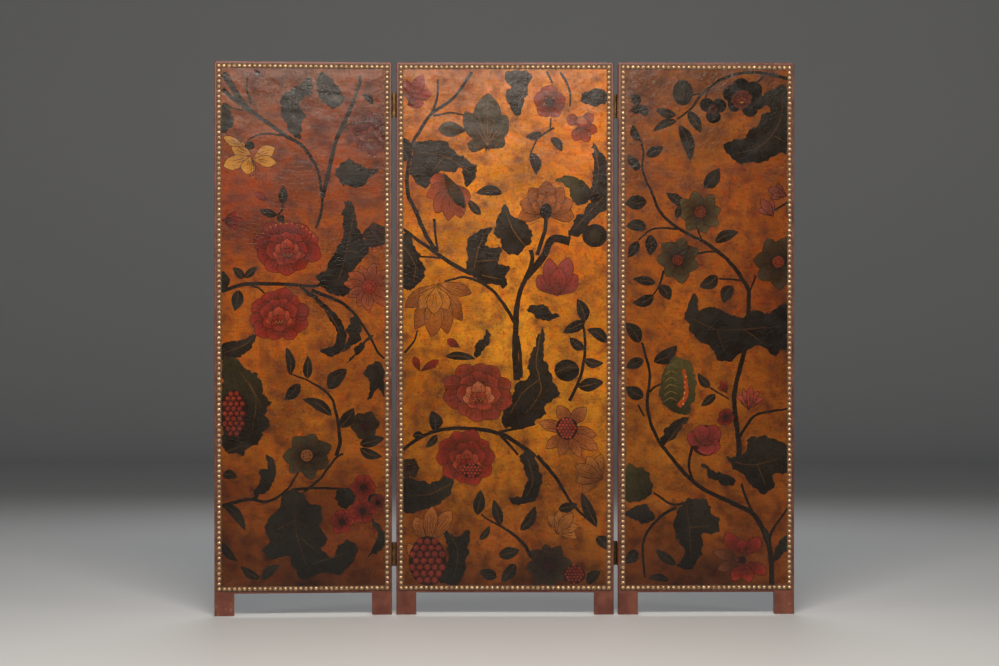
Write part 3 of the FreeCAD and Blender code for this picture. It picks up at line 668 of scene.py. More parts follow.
# the large leaves
centre.blob([(258, 1392), (281, 1358), (300, 1330), (300, 1222), (236, 1222), (259, 1280)],
            [[(262, 1380), (275, 1300), (255, 1230)]])
centre.blob([(151, 1279), (190, 1292), (236, 1267), (250, 1215), (205, 1215), (185, 1256)],
            [], wash(OLIVE, LEAF, (160, 1280), (240, 1220)))
centre.blob([(300, 1262), (250, 1205), (200, 1155), (182, 1110), (225, 1125), (262, 1170), (300, 1200)],
            [[(290, 1230), (240, 1175), (200, 1130)]])
centre.dot((264, 1115), 37, 35, LEAF)
centre.dot((264, 1115), 26, 24, halo(VEIN, LEAF, (264, 1115), 26), 2)
centre.blob([(61, 898), (100, 914), (140, 892), (157, 873), (110, 866), (86, 881)])
centre.blob([(-44, 840), (-47, 798), (-87, 753), (-87, 787), (-70, 815)])
centre.blob([(-273, 1364), (-250, 1389), (-183, 1392), (-135, 1353), (-85, 1318), (-92, 1273), (-118, 1259),
             (-130, 1310), (-154, 1304), (-196, 1300), (-234, 1259), (-276, 1290)],
            [[(-105, 1300), (-170, 1345), (-240, 1360)], [(-180, 1345), (-215, 1300)]])
centre.blob([(-300, 1404), (-276, 1385), (-280, 1350), (-300, 1335)])
centre.blob([(-2, 1205), (21, 1176), (66, 1148), (80, 1105), (55, 1072), (10, 1063), (-21, 1103),
             (-28, 1143)],
            [[(60, 1085), (25, 1130), (2, 1190)]])
centre.blob([(-109, 1097), (-92, 1125), (-35, 1137), (-58, 1090), (-10, 1076), (-22, 1035), (12, 1025),
             (2, 995),
             (-4, 965), (-47, 972), (-101, 1001), (-112, 1057)],
            [[(-90, 1020), (-80, 1070), (-60, 1120)], [(-80, 1040), (-10, 1045)],
             [(-70, 1000), (-10, 985)]])
centre.blob([(-300, 1115), (-273, 1097), (-240, 1030), (-240, 985), (-268, 961), (-300, 966)],
            [[(-298, 1080), (-265, 1030), (-270, 975)]])
centre.blob([(106, 849), (117, 815), (109, 776), (140, 697), (157, 650), (122, 618), (118, 590), (60, 555),
             (4, 552), (-12, 580), (12, 625), (35, 680), (70, 700), (69, 745), (92, 800)],
            [[(105, 830), (92, 740), (105, 660), (60, 590)], [(100, 690), (50, 650), (15, 590)]])
centre.blob([(-300, 401), (-217, 389), (-165, 410), (-152, 370), (-188, 332), (-234, 310), (-300, 307)],
            [[(-160, 385), (-220, 355), (-290, 350)]])
centre.daisy((-282, 432), 32, 6, (LEAF, OLIVE_DARK), LEAF)
centre.blob([(41, 474), (83, 474), (107, 395), (89, 338), (32, 324), (12, 341), (50, 352), (62, 395),
             (53, 440)],
            [[(65, 465), (82, 395), (60, 345)]])
centre.dot((182, 719), 37, 32, LEAF)
centre.leaf((150, 712), (216, 728), 24, 0.1, LEAF, VEIN)
centre.blob([(-194, 280), (-150, 230), (-105, 250), (-112, 170), (-135, 95), (-190, 100), (-165, 180)],
            [[(-150, 110), (-140, 190), (-180, 265)]])
# flowers, from the top
centre.lily((-285, 1500), (-240, 1590), 40, 3, 40)
centre.petal((-290, 1500), (-238, 1505), 30)
for base, tip, width in (((-110, 1425), (-198, 1430), 46), ((-60, 1370), (-118, 1482), 52),
                         ((-50, 1365), (4, 1470), 56), ((-55, 1362), (-50, 1535), 84),
                         ((-60, 1372), (-112, 1385), 40),
                         ((-40, 1370), (0, 1400), 36)):
    centre.petal(base, tip, width, LEAF, "#3A3220", edge=HEART)
for tip in ((-80, 1480), (-52, 1500), (-25, 1478), (-90, 1440), (-12, 1442)):
    centre.line([(-52, 1380), Vector((-52, 1380)).lerp(Vector(tip), 0.6), tip], 2.0, "#40321C")
centre.daisy((131, 1508), 48, 5, (DEEP_RED, "#83372A"), HEART, 0.3, 0.3)
for base, tip, width in (((222, 1445), (180, 1462), 36), ((222, 1445), (262, 1470), 34),
                         ((222, 1440), (272, 1420), 34),
                         ((222, 1440), (205, 1392), 36), ((225, 1440), (245, 1388), 34)):
    centre.petal(base, tip, width, DEEP_RED, "#8C3A26")
centre.dot((225, 1450), 18, 16, halo(TAN, RED, (225, 1458), 20), 1.5)
for tip in ((-224, 1278), (-230, 1228), (-206, 1180), (-168, 1158), (-130, 1166), (-108, 1206)):
    centre.petal((-152, 1270), tip, 50, "#3E1A10", "#8A3C20", ribs=4)
centre.petal((-184, 1304), (-118, 1194), 38, OLIVE_DARK, LEAF, ribs=4)
centre.lily((122, 1172), (122, 1278), 56, 7, 92, ("#54280F", "#8A4A20"), 5)
centre.lily((122, 1172), (122, 1246), 42, 4, 50, ("#5E2E14", "#955222"), 4)
centre.dot((120, 1186), 18, 24, LEAF, 1.5)
for base, tip, width in (((140, 940), (98, 1000), 52), ((150, 938), (214, 1000), 56),
                         ((150, 935), (190, 1052), 54),
                         ((145, 936), (128, 1050), 50), ((150, 936), (160, 1020), 52)):
    centre.petal(base, tip, width, "#571E1B", "#83342A")
for tip, width in (((-98, 946), 42), ((-294, 905), 48), ((-126, 864), 48), ((-264, 838), 52),
                   ((-168, 824), 52),
                   ((-216, 815), 58)):
    centre.petal((-196, 975), tip, width, "#A86420", "#6A3212", edge="#2A160A", ribs=5)
for tip, width in (((-252, 898), 44), ((-168, 896), 44), ((-210, 884), 48)):
    centre.petal((-204, 968), tip, width, "#B06C22", "#9A5A1E", edge="#2A160A", ribs=2)
centre.petal((-250, 715), (-194, 750), 24)
centre.petal((-250, 715), (-268, 760), 22)
centre.petal((-132, 785), (-171, 810), 24)
centre.rose((-78, 658), 104, 92, ("#3E140F", "#84301E", "#A85A3A"))
centre.rose((-112, 460), 88, 84, turn=0.7)
centre.berry((-98, 424), 30, 22, 10, PALE_RED)
for base, tip, width in (((188, 560), (157, 617), 42), ((190, 560), (239, 611), 42),
                         ((180, 545), (98, 566), 38),
                         ((180, 530), (118, 490), 36), ((185, 525), (160, 468), 36),
                         ((195, 545), (270, 528), 36),
                         ((195, 530), (275, 485), 40), ((190, 525), (222, 462), 34)):
    centre.petal(base, tip, width, "#6A2E16", "#8E5226", ribs=4, full=1.0)
centre.berry((182, 548), 32, 34, 10, "#A8442C", "#5A1C12")
centre.lily((150, 238), (200, 300), 36, 5, 62, ("#6A401A", "#8A5222"), 4)
centre.lily((290, 400), (205, 440), 40, 5, 58, ("#5E3216", "#86501E"), 4)
for base, tip, width in (((-225, 210), (-157, 308), 48), ((-228, 205), (-265, 290), 44),
                         ((-225, 210), (-215, 320), 46),
                         ((-230, 130), (-288, 210), 40)):
    centre.petal(base, tip, width, "#5E3414", "#8A4E20", ribs=5)
centre.berry((-228, 158), 56, 74, 22, "#7E3022", "#3A120D")
centre.daisy((128, 145), 70, 8, (LEAF, "#30261A"), HEART, 0.25, 0.2, 0.9)
centre.berry((204, 118), 32, 28, 10)
print("centre panel:", len(centre.strokes), "strokes")

# %% [markdown]
# **The right wing.** One long stem sweeps from corner to foot with leaves in pairs, a star flower and a
# daisy, two great ragged leaves, a seed pod and a poppy, and a red lily at the bottom.

# %% Right wing
right = Painting(37)
for points, wide, thin in (
    ([(248, 1575), (208, 1585), (134, 1597), (54, 1580), (-9, 1536), (-48, 1487), (-87, 1458)], 7, 4),
    ([(173, 1590), (149, 1568), (129, 1561)], 4, 3), ([(10, 1548), (-1, 1526), (-1, 1502)], 4, 3),
    ([(-19, 1534), (-51, 1526)], 4, 3),
    ([(-195, 1398), (-186, 1354), (-188, 1305), (-161, 1241), (-129, 1175), (-65, 1126), (9, 1087),
      (73, 1032),
      (120, 964), (125, 925), (122, 851)], 4, 9),
    ([(-85, 1136), (-159, 1134), (-201, 1101)], 5, 3), ([(-26, 1138), (-16, 1106)], 4, 3),
    ([(-28, 1062), (14, 1069), (38, 1067)], 4, 4), ([(38, 988), (83, 986), (108, 983)], 4, 4),
    ([(127, 949), (147, 998)], 4, 4), ([(201, 1190), (241, 1214)], 4, 4),
    ([(-127, 1013), (-139, 969), (-159, 939)], 5, 3),
    ([(114, 780), (94, 705), (82, 640), (86, 580), (94, 520), (96, 480), (90, 440)], 9, 11),
    ([(98, 520), (121, 559), (151, 589), (245, 606)], 6, 4),
    ([(-191, 800), (-168, 711), (-174, 613), (-153, 535), (-107, 466), (-24, 379), (91, 321), (145, 286),
      (186, 198),
      (194, 80)], 5, 11),
    ([(-202, 618), (-184, 584)], 4, 4), ([(-168, 655), (-150, 672), (-125, 682)], 5, 4),
    ([(-42, 495), (-51, 443), (-43, 404), (-24, 379)], 6, 5), ([(11, 667), (41, 650), (66, 633)], 4, 3),
    ([(104, 384), (120, 335), (145, 286)], 5, 5), ([(186, 198), (193, 242), (240, 311)], 6, 4),
    ([(-63, 328), (-103, 325), (-157, 360)], 5, 4),
    ([(-88, 316), (-137, 286), (-185, 218), (-181, 110)], 7, 4),
):
    right.stem(points, wide, thin)
right.leaves(((-90, 1468), (-149, 1487), 28), ((-87, 1453), (-158, 1421), 24),
             ((-53, 1482), (-16, 1418), 32),
             ((-79, 1440), (-47, 1335), 38), ((-198, 1393), (-219, 1441), 26),
             ((-178, 1350), (-127, 1377), 32),
             ((-196, 1308), (-232, 1352), 30), ((-5, 1254), (39, 1315), 42),
             ((-176, 1215), (-241, 1210), 44),
             ((-176, 1138), (-238, 1143), 36), ((-166, 1117), (-166, 1055), 36),
             ((-201, 1099), (-231, 1051), 30),
             ((-65, 1200), (-120, 1240), 30), ((-78, 1203), (-88, 1162), 20), ((24, 1097), (95, 1126), 34),
             ((-149, 976), (-218, 988), 28), ((-154, 939), (-218, 917), 34), ((-139, 969), (-109, 925), 36),
             ((34, 996), (-21, 964), 40), ((76, 969), (51, 917), 38), ((-156, 743), (-86, 792), 42),
             ((-195, 800), (-238, 860), 40), ((-185, 750), (-238, 725), 34), ((-185, 640), (-238, 670), 40),
             ((11, 667), (-24, 711), 26), ((26, 648), (-16, 613), 26), ((-90, 147), (-151, 192), 28),
             ((-205, 190), (-238, 150), 36), ((-110, 100), (-172, 106), 22), ((186, 198), (170, 260), 22),
             ((-198, 1500), (-222, 1530), 30), ((-190, 1498), (-178, 1465), 28),
             ((-225, 1480), (-190, 1500), 26))
right.blob([(201, 154), (216, 213), (243, 232), (243, 198)])
right.blob([(-51, 581), (-105, 562), (-133, 520), (-122, 495), (-84, 535)], [[(-115, 510), (-60, 575)]])
right.blob([(-14, 441), (30, 420), (84, 399), (79, 379), (44, 382), (5, 408)])
right.blob([(-237, 301), (-188, 325), (-155, 286), (-187, 267), (-217, 281)])
right.blob([(-237, 438), (-190, 430), (-158, 385), (-175, 345), (-237, 340)], [],
           wash(OLIVE, LEAF, (-237, 430), (-160, 350)))
# the large leaves
right.blob([(241, 1546), (205, 1552), (172, 1532), (168, 1500), (190, 1482), (158, 1466), (150, 1440),
            (122, 1424),
            (112, 1400), (80, 1396), (48, 1386), (68, 1350), (112, 1328), (170, 1332), (214, 1360),
            (243, 1378)],
           [[(225, 1535), (215, 1450), (160, 1380), (80, 1355)], [(200, 1410), (235, 1390)]])
right.blob([(-36, 939), (-24, 912), (-20, 898), (20, 908), (48, 890), (80, 880), (112, 878), (137, 900),
            (180, 885),
            (215, 912), (241, 905), (241, 785), (222, 780), (200, 765), (156, 790), (110, 775), (72, 744),
            (35, 750), (8, 793), (-27, 810), (-56, 859), (-65, 885)],
           [[(-40, 870), (30, 840), (110, 840), (225, 850)], [(30, 840), (55, 770)],
            [(110, 840), (180, 790)]])
right.blob([(61, 460), (114, 476), (125, 520), (193, 520), (243, 485), (240, 418), (200, 420), (203, 380),
            (170, 355), (138, 374), (105, 409), (84, 428)],
           [[(80, 450), (140, 440), (220, 460)], [(150, 440), (175, 380)]])
right.blob([(-63, 335), (-38, 343), (0, 335), (16, 296), (41, 279), (29, 240), (-10, 234), (-12, 203),
            (-20, 160),
            (-55, 133), (-90, 147), (-63, 180), (-88, 220), (-97, 280)],
           [[(-60, 325), (-50, 250), (-45, 150)], [(-50, 255), (15, 262)]])
# flowers, from the top
right.dot((-70, 1536), 30, 38, wash(LEAF_PALE, LEAF, (-70, 1570), (-70, 1500)))
right.hatch((-70, 1536), 20, 24, 4, 0.3, VEIN)
for x, z, radius in ((72, 1534, 25), (102, 1552, 27), (138, 1542, 28), (152, 1510, 23), (128, 1488, 23),
                     (82, 1500, 20)):
    right.dot((x, z), radius, None, LEAF)
right.rose((104, 1516), 32, 30, (DEEP_RED, "#54281F", "#6A3628"))
for x, z in ((1, 1500), (37, 1498), (20, 1466)):
    right.dot((x, z), 22, 21, LEAF)
right.daisy((19, 1486), 15, 4, (DEEP_RED, "#46261C"), HEART)
right.daisy((-18, 1185), 68, 8, (LEAF, "#4C4024"), "#542412", 0.28, 0.2, 0.9)
right.daisy((-85, 1044), 68, 7, (LEAF, "#443A22"), "#542010", 0.26, 0.5, 0.88)
right.lily((241, 1232), (180, 1255), 26, 3, 30, ("#5A2A20", "#7A3A2C"))
right.lily((200, 1170), (160, 1225), 28, 3, 30, ("#5A2A20", "#7A3A2C"))
right.daisy((212, 1038), 78, 7, (LEAF, "#3A2E1C"), "#5E2412", 0.24, 0.3, 0.88)
right.dot((-84, 672), 52, 80, OLIVE_DARK)
right.blob([(-93, 755), (-44, 736), (-31, 662), (-50, 600), (-82, 593), (-136, 633), (-130, 695)], [],
           wash(OLIVE, OLIVE_DARK, (-60, 740), (-110, 600)))
for k in range(6):
    z = 625 + 20 * k
    right.line([(-128 + 2 * k, z), (-106, z + 12), (-86, z + 4)], 2.2, "#5E5026")
right.stem([(-68, 722), (-60, 680), (-62, 640), (-82, 613)], 6, 10, "#8A3414")
for k in range(6):
    right.dot((-61 - k * 1.5, 700 - 16 * k), 4, 5, "#A8622A", 1)
right.dot((-4, 512), 44, 46, DEEP_RED)
for base, tip, width in (((-2, 500), (-58, 530), 50), ((-4, 500), (34, 555), 56), ((0, 500), (42, 492), 48),
                         ((-8, 500), (-20, 560), 52), ((-4, 520), (6, 468), 58)):
    right.petal(base, tip, width, "#52201C", "#84302A")
right.line([(-35, 520), (-15, 500), (10, 500), (28, 518)], 4, HEART)
right.lily((62, 650), (40, 690), 16, 3, 28)
right.daisy((57, 580), 26, 5, (DEEP_RED, RED), HEART)
right.lily((125, 600), (132, 674), 22, 5, 45, ("#5A2420", "#8A3A2C"))
for base, tip, width in (((107, 165), (18, 183), 34), ((105, 155), (32, 132), 34),
                         ((104, 172), (55, 242), 40),
                         ((108, 175), (104, 222), 38), ((118, 172), (158, 228), 40),
                         ((110, 150), (75, 98), 36),
                         ((115, 150), (128, 92), 38), ((120, 155), (178, 118), 36)):
    tan = tip[0] < 40
    right.petal(base, tip, width, "#3A1A10" if tan else "#52180F", "#6A3A20" if tan else "#84281C", ribs=4)
right.dot((107, 159), 12, 12, HEART)
print("right wing:", len(right.strokes), "strokes")

# %% [markdown]
# ** The ground.** Under the flowers the ground is laid warm and uneven: golden in the middle of the screen,
# redder and darker on the wings, brown at the foot. The gold in the middle of the centre panel is partly a
# painted pool of light, the darker wings are partly painted shade, and the brown foot is partly smoke and
# dust and partly painted shade. A few colours, each at a place, are made darker by a painted shade factor,
# yellowed as old varnish yellows them, and blended by nearness, which is how wet paint runs together.

# %% Ground colours
# the colours hold a painted pool of light on the centre panel and painted shade on the wings and foot
GROUND_PAINT_AND_LIGHT = {
    "left": ((0, 1600, "#7E4636"), (-160, 1530, "#7C4434"), (110, 1440, "#803E2A"), (0, 1300, "#8E4626"),
             (-150, 1230, "#863C2A"), (60, 1000, "#985024"), (-150, 760, "#A05A24"), (40, 800, "#A45E26"),
             (30, 600, "#A86428"), (180, 660, "#9A5626"), (-60, 480, "#A05C24"), (-180, 330, "#7E421C"),
             (120, 240, "#74391A"), (0, 90, "#4A2612")),
    "centre": ((-150, 1590, "#A05C2C"), (60, 1580, "#BE7430"), (0, 1330, "#D0842A"), (180, 1390, "#C4721E"),
               (-240, 1300, "#AA601E"), (-60, 1180, "#CE862A"), (210, 1060, "#B66A20"),
               (-200, 990, "#BE7826"),
               (0, 820, "#CE8C34"), (230, 800, "#C07C2A"), (-240, 680, "#A8641E"), (180, 620, "#C08030"),
               (0, 520, "#B87628"), (-60, 340, "#A4641F"), (210, 400, "#A05E22"), (0, 220, "#945220"),
               (-200, 250, "#80461A"), (100, 90, "#4E2812"), (-150, 90, "#5A2E14")),
    "right": ((0, 1600, "#6E422E"), (-150, 1560, "#74442E"), (-20, 1420, "#88502C"), (120, 1250, "#8C4A28"),
              (-150, 1280, "#94522A"), (0, 1100, "#945228"), (180, 960, "#7C3E20"), (-100, 860, "#9C5826"),
              (20, 690, "#A4602A"), (190, 680, "#8E4E22"), (-90, 460, "#A8682C"), (60, 500, "#A05C26"),
              (0, 300, "#96541F"), (150, 220, "#7C4220"), (-170, 130, "#66361A"), (0, 90, "#4A2612")),
}
# painted shade: these factors darken the wings and the foot for the light that falls short there
DEPTH_AND_SHADE = {"left": 0.86, "centre": 0.9, "right": 0.86}
FOOT_SHADE_BELOW, FOOT_SHADE = 700, 0.93
VARNISH_TINT = (1.03, 1.0, 0.62)


def shaded_and_yellowed(code, shade_depth):
    """A picked colour made darker by a painted shade factor, and with much less blue, as old varnish leaves
    it.
    """
    parts = [int(code[i:i + 2], 16) * shade_depth * tint for i, tint in zip((1, 3, 5), VARNISH_TINT)]
    return "#" + "".join(f"{min(255, round(part)):02X}" for part in parts)


def ground_and_light_at(panel, points):
    """The ground's colour, with its painted light and shade, at many points of a panel, linear."""
    weights, colours = [], []
    for x, z, code in GROUND_PAINT_AND_LIGHT[panel]:
        away = (points[:, 0] - x) ** 2 + (points[:, 1] - z) ** 2
        weights.append((away + 40 ** 2) ** -1.6)
        shade_depth = DEPTH_AND_SHADE[panel] * (FOOT_SHADE if z < FOOT_SHADE_BELOW else 1.0)
        colours.append(linear(shaded_and_yellowed(code, shade_depth))[:3])
    weights = np.array(weights).T
    return weights @ np.array(colours) / weights.sum(1)[:, None]


# %% [markdown]
# **The canvas.** It is stretched, but old: it bellies a little between the rails, has slack creases near
# the top, and is drawn into shallow scallops by the nails. A grid of points carries that relief, the
# strokes' outlines are cut into the same mesh by a constrained Delaunay triangulation, and a back and an
# edge close it into a real sheet. Cloth simulation was the other way, but this sheet is held flat all
# round, so its waves are drawn as a few sines.

# %% Relief of the stretched canvas
GRID = 9.0
HIDDEN = 14.0
EASE_IN, SCALLOP_REACH, SCALLOP_DEPTH = 30, 40, 0.22


def relief(points, low, high, seed):
    """How far the canvas stands proud at each point, in millimetres: nothing under the braid."""
    x, z = points[:, 0], points[:, 1]
    inside = np.minimum(np.minimum(x - low[0], high[0] - x), np.minimum(z - low[2], high[2] - z)) - HIDDEN
    free = np.clip(inside / EASE_IN, 0, 1)
    free = free * free * (3 - 2 * free)
    rough = np.array([noise.noise(Vector((a / 160, b / 120, seed))) for a, b in points])
    crease = np.array([noise.noise(Vector((a / 60 + b / 150, b / 34, seed + 9))) for a, b in points])
    top = np.clip((z - 1150) / 400, 0, 1)
    belly = 0.9 + 0.6 * rough + (0.25 + 0.55 * top) * crease
    near = np.clip(1 - inside / SCALLOP_REACH, 0, 1) * np.clip(inside / 4, 0, 1)
    # a scallop to every second nail
    scallop = SCALLOP_DEPTH * near * (1 + np.cos(2 * np.pi * (x + z) / 30))
    return np.clip(free * belly, 0, 2.2) + scallop


# %% Cutting the strokes into the canvas
def rim_points(low, high, step):
    """Points round a panel's edge, anticlockwise as the painted side shows them."""
    corners = [(low[0], low[2]), (high[0], low[2]), (high[0], high[2]), (low[0], high[2])]
    rim = []
    for start, end in zip(corners, corners[1:] + corners[:1]):
        start, end = Vector(start), Vector(end)
        count = round((end - start).length / step)
        rim += [start.lerp(end, k / count) for k in range(count)]
    return rim


def inside_panel(outline, low, high):
    """A stroke's outline kept inside the canvas, without points that fall together."""
    kept = []
    for point in outline:
        point = Vector((min(max(point[0], low[0] + 2), high[0] - 2),
                        min(max(point[1], low[2] + 2), high[2] - 2)))
        if not kept or (point - kept[-1]).length > 0.3:
            kept.append(point)
    return kept if len(kept) > 2 else []


def goes_round(outline, points):
    """Whether an outline goes round each point, even where it crosses itself."""
    turns = np.zeros(len(points), int)
    for a, b in zip(outline, outline[1:] + outline[:1]):
        side = (b.x - a.x) * (points[:, 1] - a.y) - (points[:, 0] - a.x) * (b.y - a.y)
        turns += (a.y <= points[:, 1]) & (b.y > points[:, 1]) & (side > 0)
        turns -= (a.y > points[:, 1]) & (b.y <= points[:, 1]) & (side < 0)
    return turns != 0


def cut_canvas(strokes, low, high):
    """Points and triangles of the canvas, and the topmost stroke on each triangle, or -1."""
    rim = rim_points(low, high, GRID)
    outlines = [inside_panel(outline, low, high) for outline, _, _ in strokes]
    spots, cuts = list(rim), []
    for outline in outlines:
        first, count = len(spots), len(outline)
        cuts += [(first + k, first + (k + 1) % count) for k in range(count)]
        spots += outline
    rows, columns = int((high[2] - low[2]) / GRID), int((high[0] - low[0]) / GRID)
    for row in range(1, rows):
        for column in range(1, columns):
            shift = 0.5 * (row % 2)
            spots.append(Vector((low[0] + GRID * (column + shift - 0.25), low[2] + GRID * row)))
    points, _, faces, _, _, _ = geometry.delaunay_2d_cdt(spots, cuts, [list(range(len(rim)))], 1, 0.01)
    flat = np.array([tuple(point) for point in points])
    middles = flat[np.array(faces)].mean(1)
    top = np.full(len(faces), -1)
    for index, outline in enumerate(outlines):
        if outline:
            corners = np.array([tuple(point) for point in outline])
            near = np.nonzero(((middles > corners.min(0)) & (middles < corners.max(0))).all(1))[0]
            top[near[goes_round(outline, middles[near])]] = index
    return points, faces, top


# %% [markdown]
# Each corner of each triangle then gets its colour from its stroke, so a colour may run inside a petal and
# still stop dead at its edge. A second colour keeps the ground alone, with its painted light and shade, for
# the finish to show through worn paint, and the first colour's fourth number says how thick the paint is.

# %% Building one canvas
def painted_sheet(name, panel, painting, seed):
    """The painted canvas of a panel: a closed sheet with the colours of its strokes."""
    sizes = panels[panel]
    low, high = sizes["canvas"]
    points, faces, top = cut_canvas(painting.strokes, low, high)
    flat = np.array([tuple(point) for point in points])
    proud = relief(flat, low, high, seed)
    front = [(x, low[1] - out, z) for (x, z), out in zip(flat, proud)]
    # the rim is every edge that only one triangle has
    uses = {}
    for face in faces:
        for a, b in zip(face, face[1:] + face[:1]):
            uses[(a, b)] = uses.get((b, a)) is None
            if not uses[(a, b)]:
                uses[(b, a)] = False
    rim = dict(edge for edge, alone in uses.items() if alone)
    loop = [next(iter(rim))]
    while rim[loop[-1]] != loop[0]:
        loop.append(rim[loop[-1]])
    behind = len(front)
    back = [(front[i][0], high[1] - 0.02, front[i][2]) for i in loop]
    count = len(loop)
    sides = [(loop[k], behind + k, behind + (k + 1) % count, loop[(k + 1) % count]) for k in range(count)]
    mesh = bpy.data.meshes.new(name)
    mesh.from_pydata(front + back, [], [tuple(face) for face in faces] + sides
                     + [tuple(range(behind + count - 1, behind - 1, -1))])
    mesh.polygons.foreach_set("use_smooth", [k < len(faces) for k in range(len(mesh.polygons))])
    # colours, corner by corner
    under = np.vstack([ground_and_light_at(panel, flat), np.tile(linear("#8A7258")[:3], (count, 1))])
    corner_points = np.array([loop.vertex_index for loop in mesh.loops])
    colours = np.hstack([under[corner_points], np.zeros((len(corner_points), 1))])
    spots = np.vstack([flat, flat[loop]])
    starts = np.array([polygon.loop_start for polygon in mesh.polygons])
    of_stroke = {}
    for k, stroke in enumerate(top):
        if stroke >= 0:
            of_stroke.setdefault(stroke, []).append(k)
    for stroke, members in of_stroke.items():
        _, paint, cover = painting.strokes[stroke]
        corners = (starts[members][:, None] + np.arange(3)).ravel()
        colours[corners, :3] = paint(spots[corner_points[corners]])
        colours[corners, 3] = cover
    mesh.color_attributes.new("paint", "FLOAT_COLOR", "CORNER").data.foreach_set("color", colours.ravel())
    bare = np.hstack([under, np.ones((len(under), 1))])
    mesh.color_attributes.new("ground", "FLOAT_COLOR", "POINT").data.foreach_set("color", bare.ravel())
    mesh.transform(Matrix.Scale(MM, 4))
    mesh.transform(sizes["place"])
    mesh.validate()
    piece = bpy.data.objects.new(name, mesh)
    bpy.context.scene.collection.objects.link(piece)
    print(name, len(faces), "triangles,", len(of_stroke), "strokes show")
    return piece


# %% [markdown]
# **The finish of the painting.** Oil paint on coarse canvas under old varnish. The varnish is what the eye
# gets first: a warm gloss that breaks up over the weave. Under it the paint is thin on the threads' tops,
# so the ground shows there; fine cracks run over part of it, and the whole is blotched with age. Threads a
# millimetre apart are too fine to show from across a room, so slubs 4 mm apart and long across the panel
# stand for them there. The canvas has cockled with age, most of all near the top, and that is what breaks
# up the shine.

# %% Varnished oil paint on canvas
def varnished_painting(name):
    """Oil paint, worn and cracked, over a warm ground on canvas, under an uneven varnish."""
    material, tree, shader, coords = new_material(name)
    paint = add(tree, "ShaderNodeAttribute", attribute_name="paint")
    # the ground colour holds painted light and shade as well as the ground's own paint
    ground = add(tree, "ShaderNodeAttribute", attribute_name="ground").outputs["Color"]
    weft = speckle(tree, coords, 1.3, (0.16, 0.16, 1), 2.0)
    warp = speckle(tree, coords, 1.3, (1, 1, 0.16), 2.0)
    slubs = speckle(tree, coords, 4, (0.1, 0.1, 1), 3.0)
    blotches = speckle(tree, coords, 40, detail=6.0)
    stains = speckle(tree, coords, 150, detail=4.0)
    strokes = speckle(tree, coords, 13, (1, 1, 0.5), 5.0)
    grime = speckle(tree, coords, 6, detail=4.0)
    weave = maths(tree, "ADD", weft, warp)
    # the ground first: brushed on, rubbed and blotched
    laid = blend(tree, between(tree, strokes, 0.45, 0.7, 0.0, 0.34), ground, "#E08A24", "OVERLAY")
    laid = blend(tree, between(tree, blotches, 0.45, 0.71, 0.0, 0.7), laid, "#6A2E0C", "MULTIPLY")
    # thin paint on the threads' tops lets the ground through
    thin = maths(tree, "MULTIPLY", between(tree, slubs, 0.52, 0.74),
                 between(tree, blotches, 0.4, 0.65, 0.02, 0.14))
    cover = maths(tree, "MULTIPLY", paint.outputs["Alpha"], maths(tree, "SUBTRACT", 1.0, thin))
    body = blend(tree, cover, laid, paint.outputs["Color"])
    body = blend(tree, between(tree, stains, 0.42, 0.68, 0.0, 0.48), body, "#4E2810", "MULTIPLY")
    body = blend(tree, between(tree, slubs, 0.5, 0.72, 0.0, 0.26), body, "#3A1E0C", "MULTIPLY")
    body = blend(tree, between(tree, grime, 0.52, 0.72, 0.0, 0.5), body, "#4A2810", "MULTIPLY")
    # age cracks, a hair wide and about 12 mm apart
    bent = blend(tree, 0.006, coords, speckle(tree, coords, 20), "ADD")
    cracks = add(tree, "ShaderNodeTexVoronoi", {"Vector": bent, "Scale": 1 / (12 * MM)},
                 feature="DISTANCE_TO_EDGE").outputs["Distance"]
    crack = maths(tree, "MULTIPLY", between(tree, cracks, 0.0, 0.05, 1.0, 0.0),
                  between(tree, stains, 0.4, 0.6))
    body = blend(tree, maths(tree, "MULTIPLY", crack, 0.4), body, "#1C0F08")
    # pale spots, most near the top: partly rubbed scuffs, partly painted sheen on the varnish
    height = add(tree, "ShaderNodeSeparateXYZ", {0: coords}).outputs["Z"]
    rubbed_and_sheen = maths(tree, "MULTIPLY",
                   between(tree, speckle(tree, coords, 7, (0.7, 0.7, 1.6), 5.0), 0.69, 0.76),
                   between(tree, height, 1.1, 1.58, 0.08, 0.5))
    body = blend(tree, rubbed_and_sheen, body, "#B08C68")
    tree.links.new(body, shader.inputs["Base Color"])
    gloss = between(tree, maths(tree, "ADD", blotches, maths(tree, "MULTIPLY", weave, 0.2)),
                    0.5, 0.95, 0.2, 0.36)
    tree.links.new(gloss, shader.inputs["Roughness"])
    shader.inputs["IOR"].default_value = 1.5
    shader.inputs["Specular IOR Level"].default_value = 0.3
    # height in millimetres: threads, slubs, cockled canvas that is worst near the top, and the cracks
    cockles = maths(tree, "MULTIPLY", speckle(tree, coords, 36, (0.9, 0.9, 1.15), 3.0),
                    between(tree, height, 1.15, 1.55, 0.4, 2.2))
    height_of = maths(tree, "ADD", maths(tree, "MULTIPLY", weave, 0.06),
                      maths(tree, "MULTIPLY", slubs, 0.14))
    height_of = maths(tree, "ADD", height_of, maths(tree, "MULTIPLY", grime, 0.1))
    height_of = maths(tree, "ADD", height_of, cockles)
    height_of = maths(tree, "SUBTRACT", height_of, maths(tree, "MULTIPLY", crack, 0.2))
    bump(tree, shader, height_of, 1.0, 0.75)
    return material


painting_finish = varnished_painting("varnished_oil_paint_on_canvas")


def declare_sheet(piece, panel, part):
    """Attaches a cloth to its panel's body and hides the CAD part that it replaces."""
    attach(piece, BODIES[panel])
    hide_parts(f"{panel}_{part}")


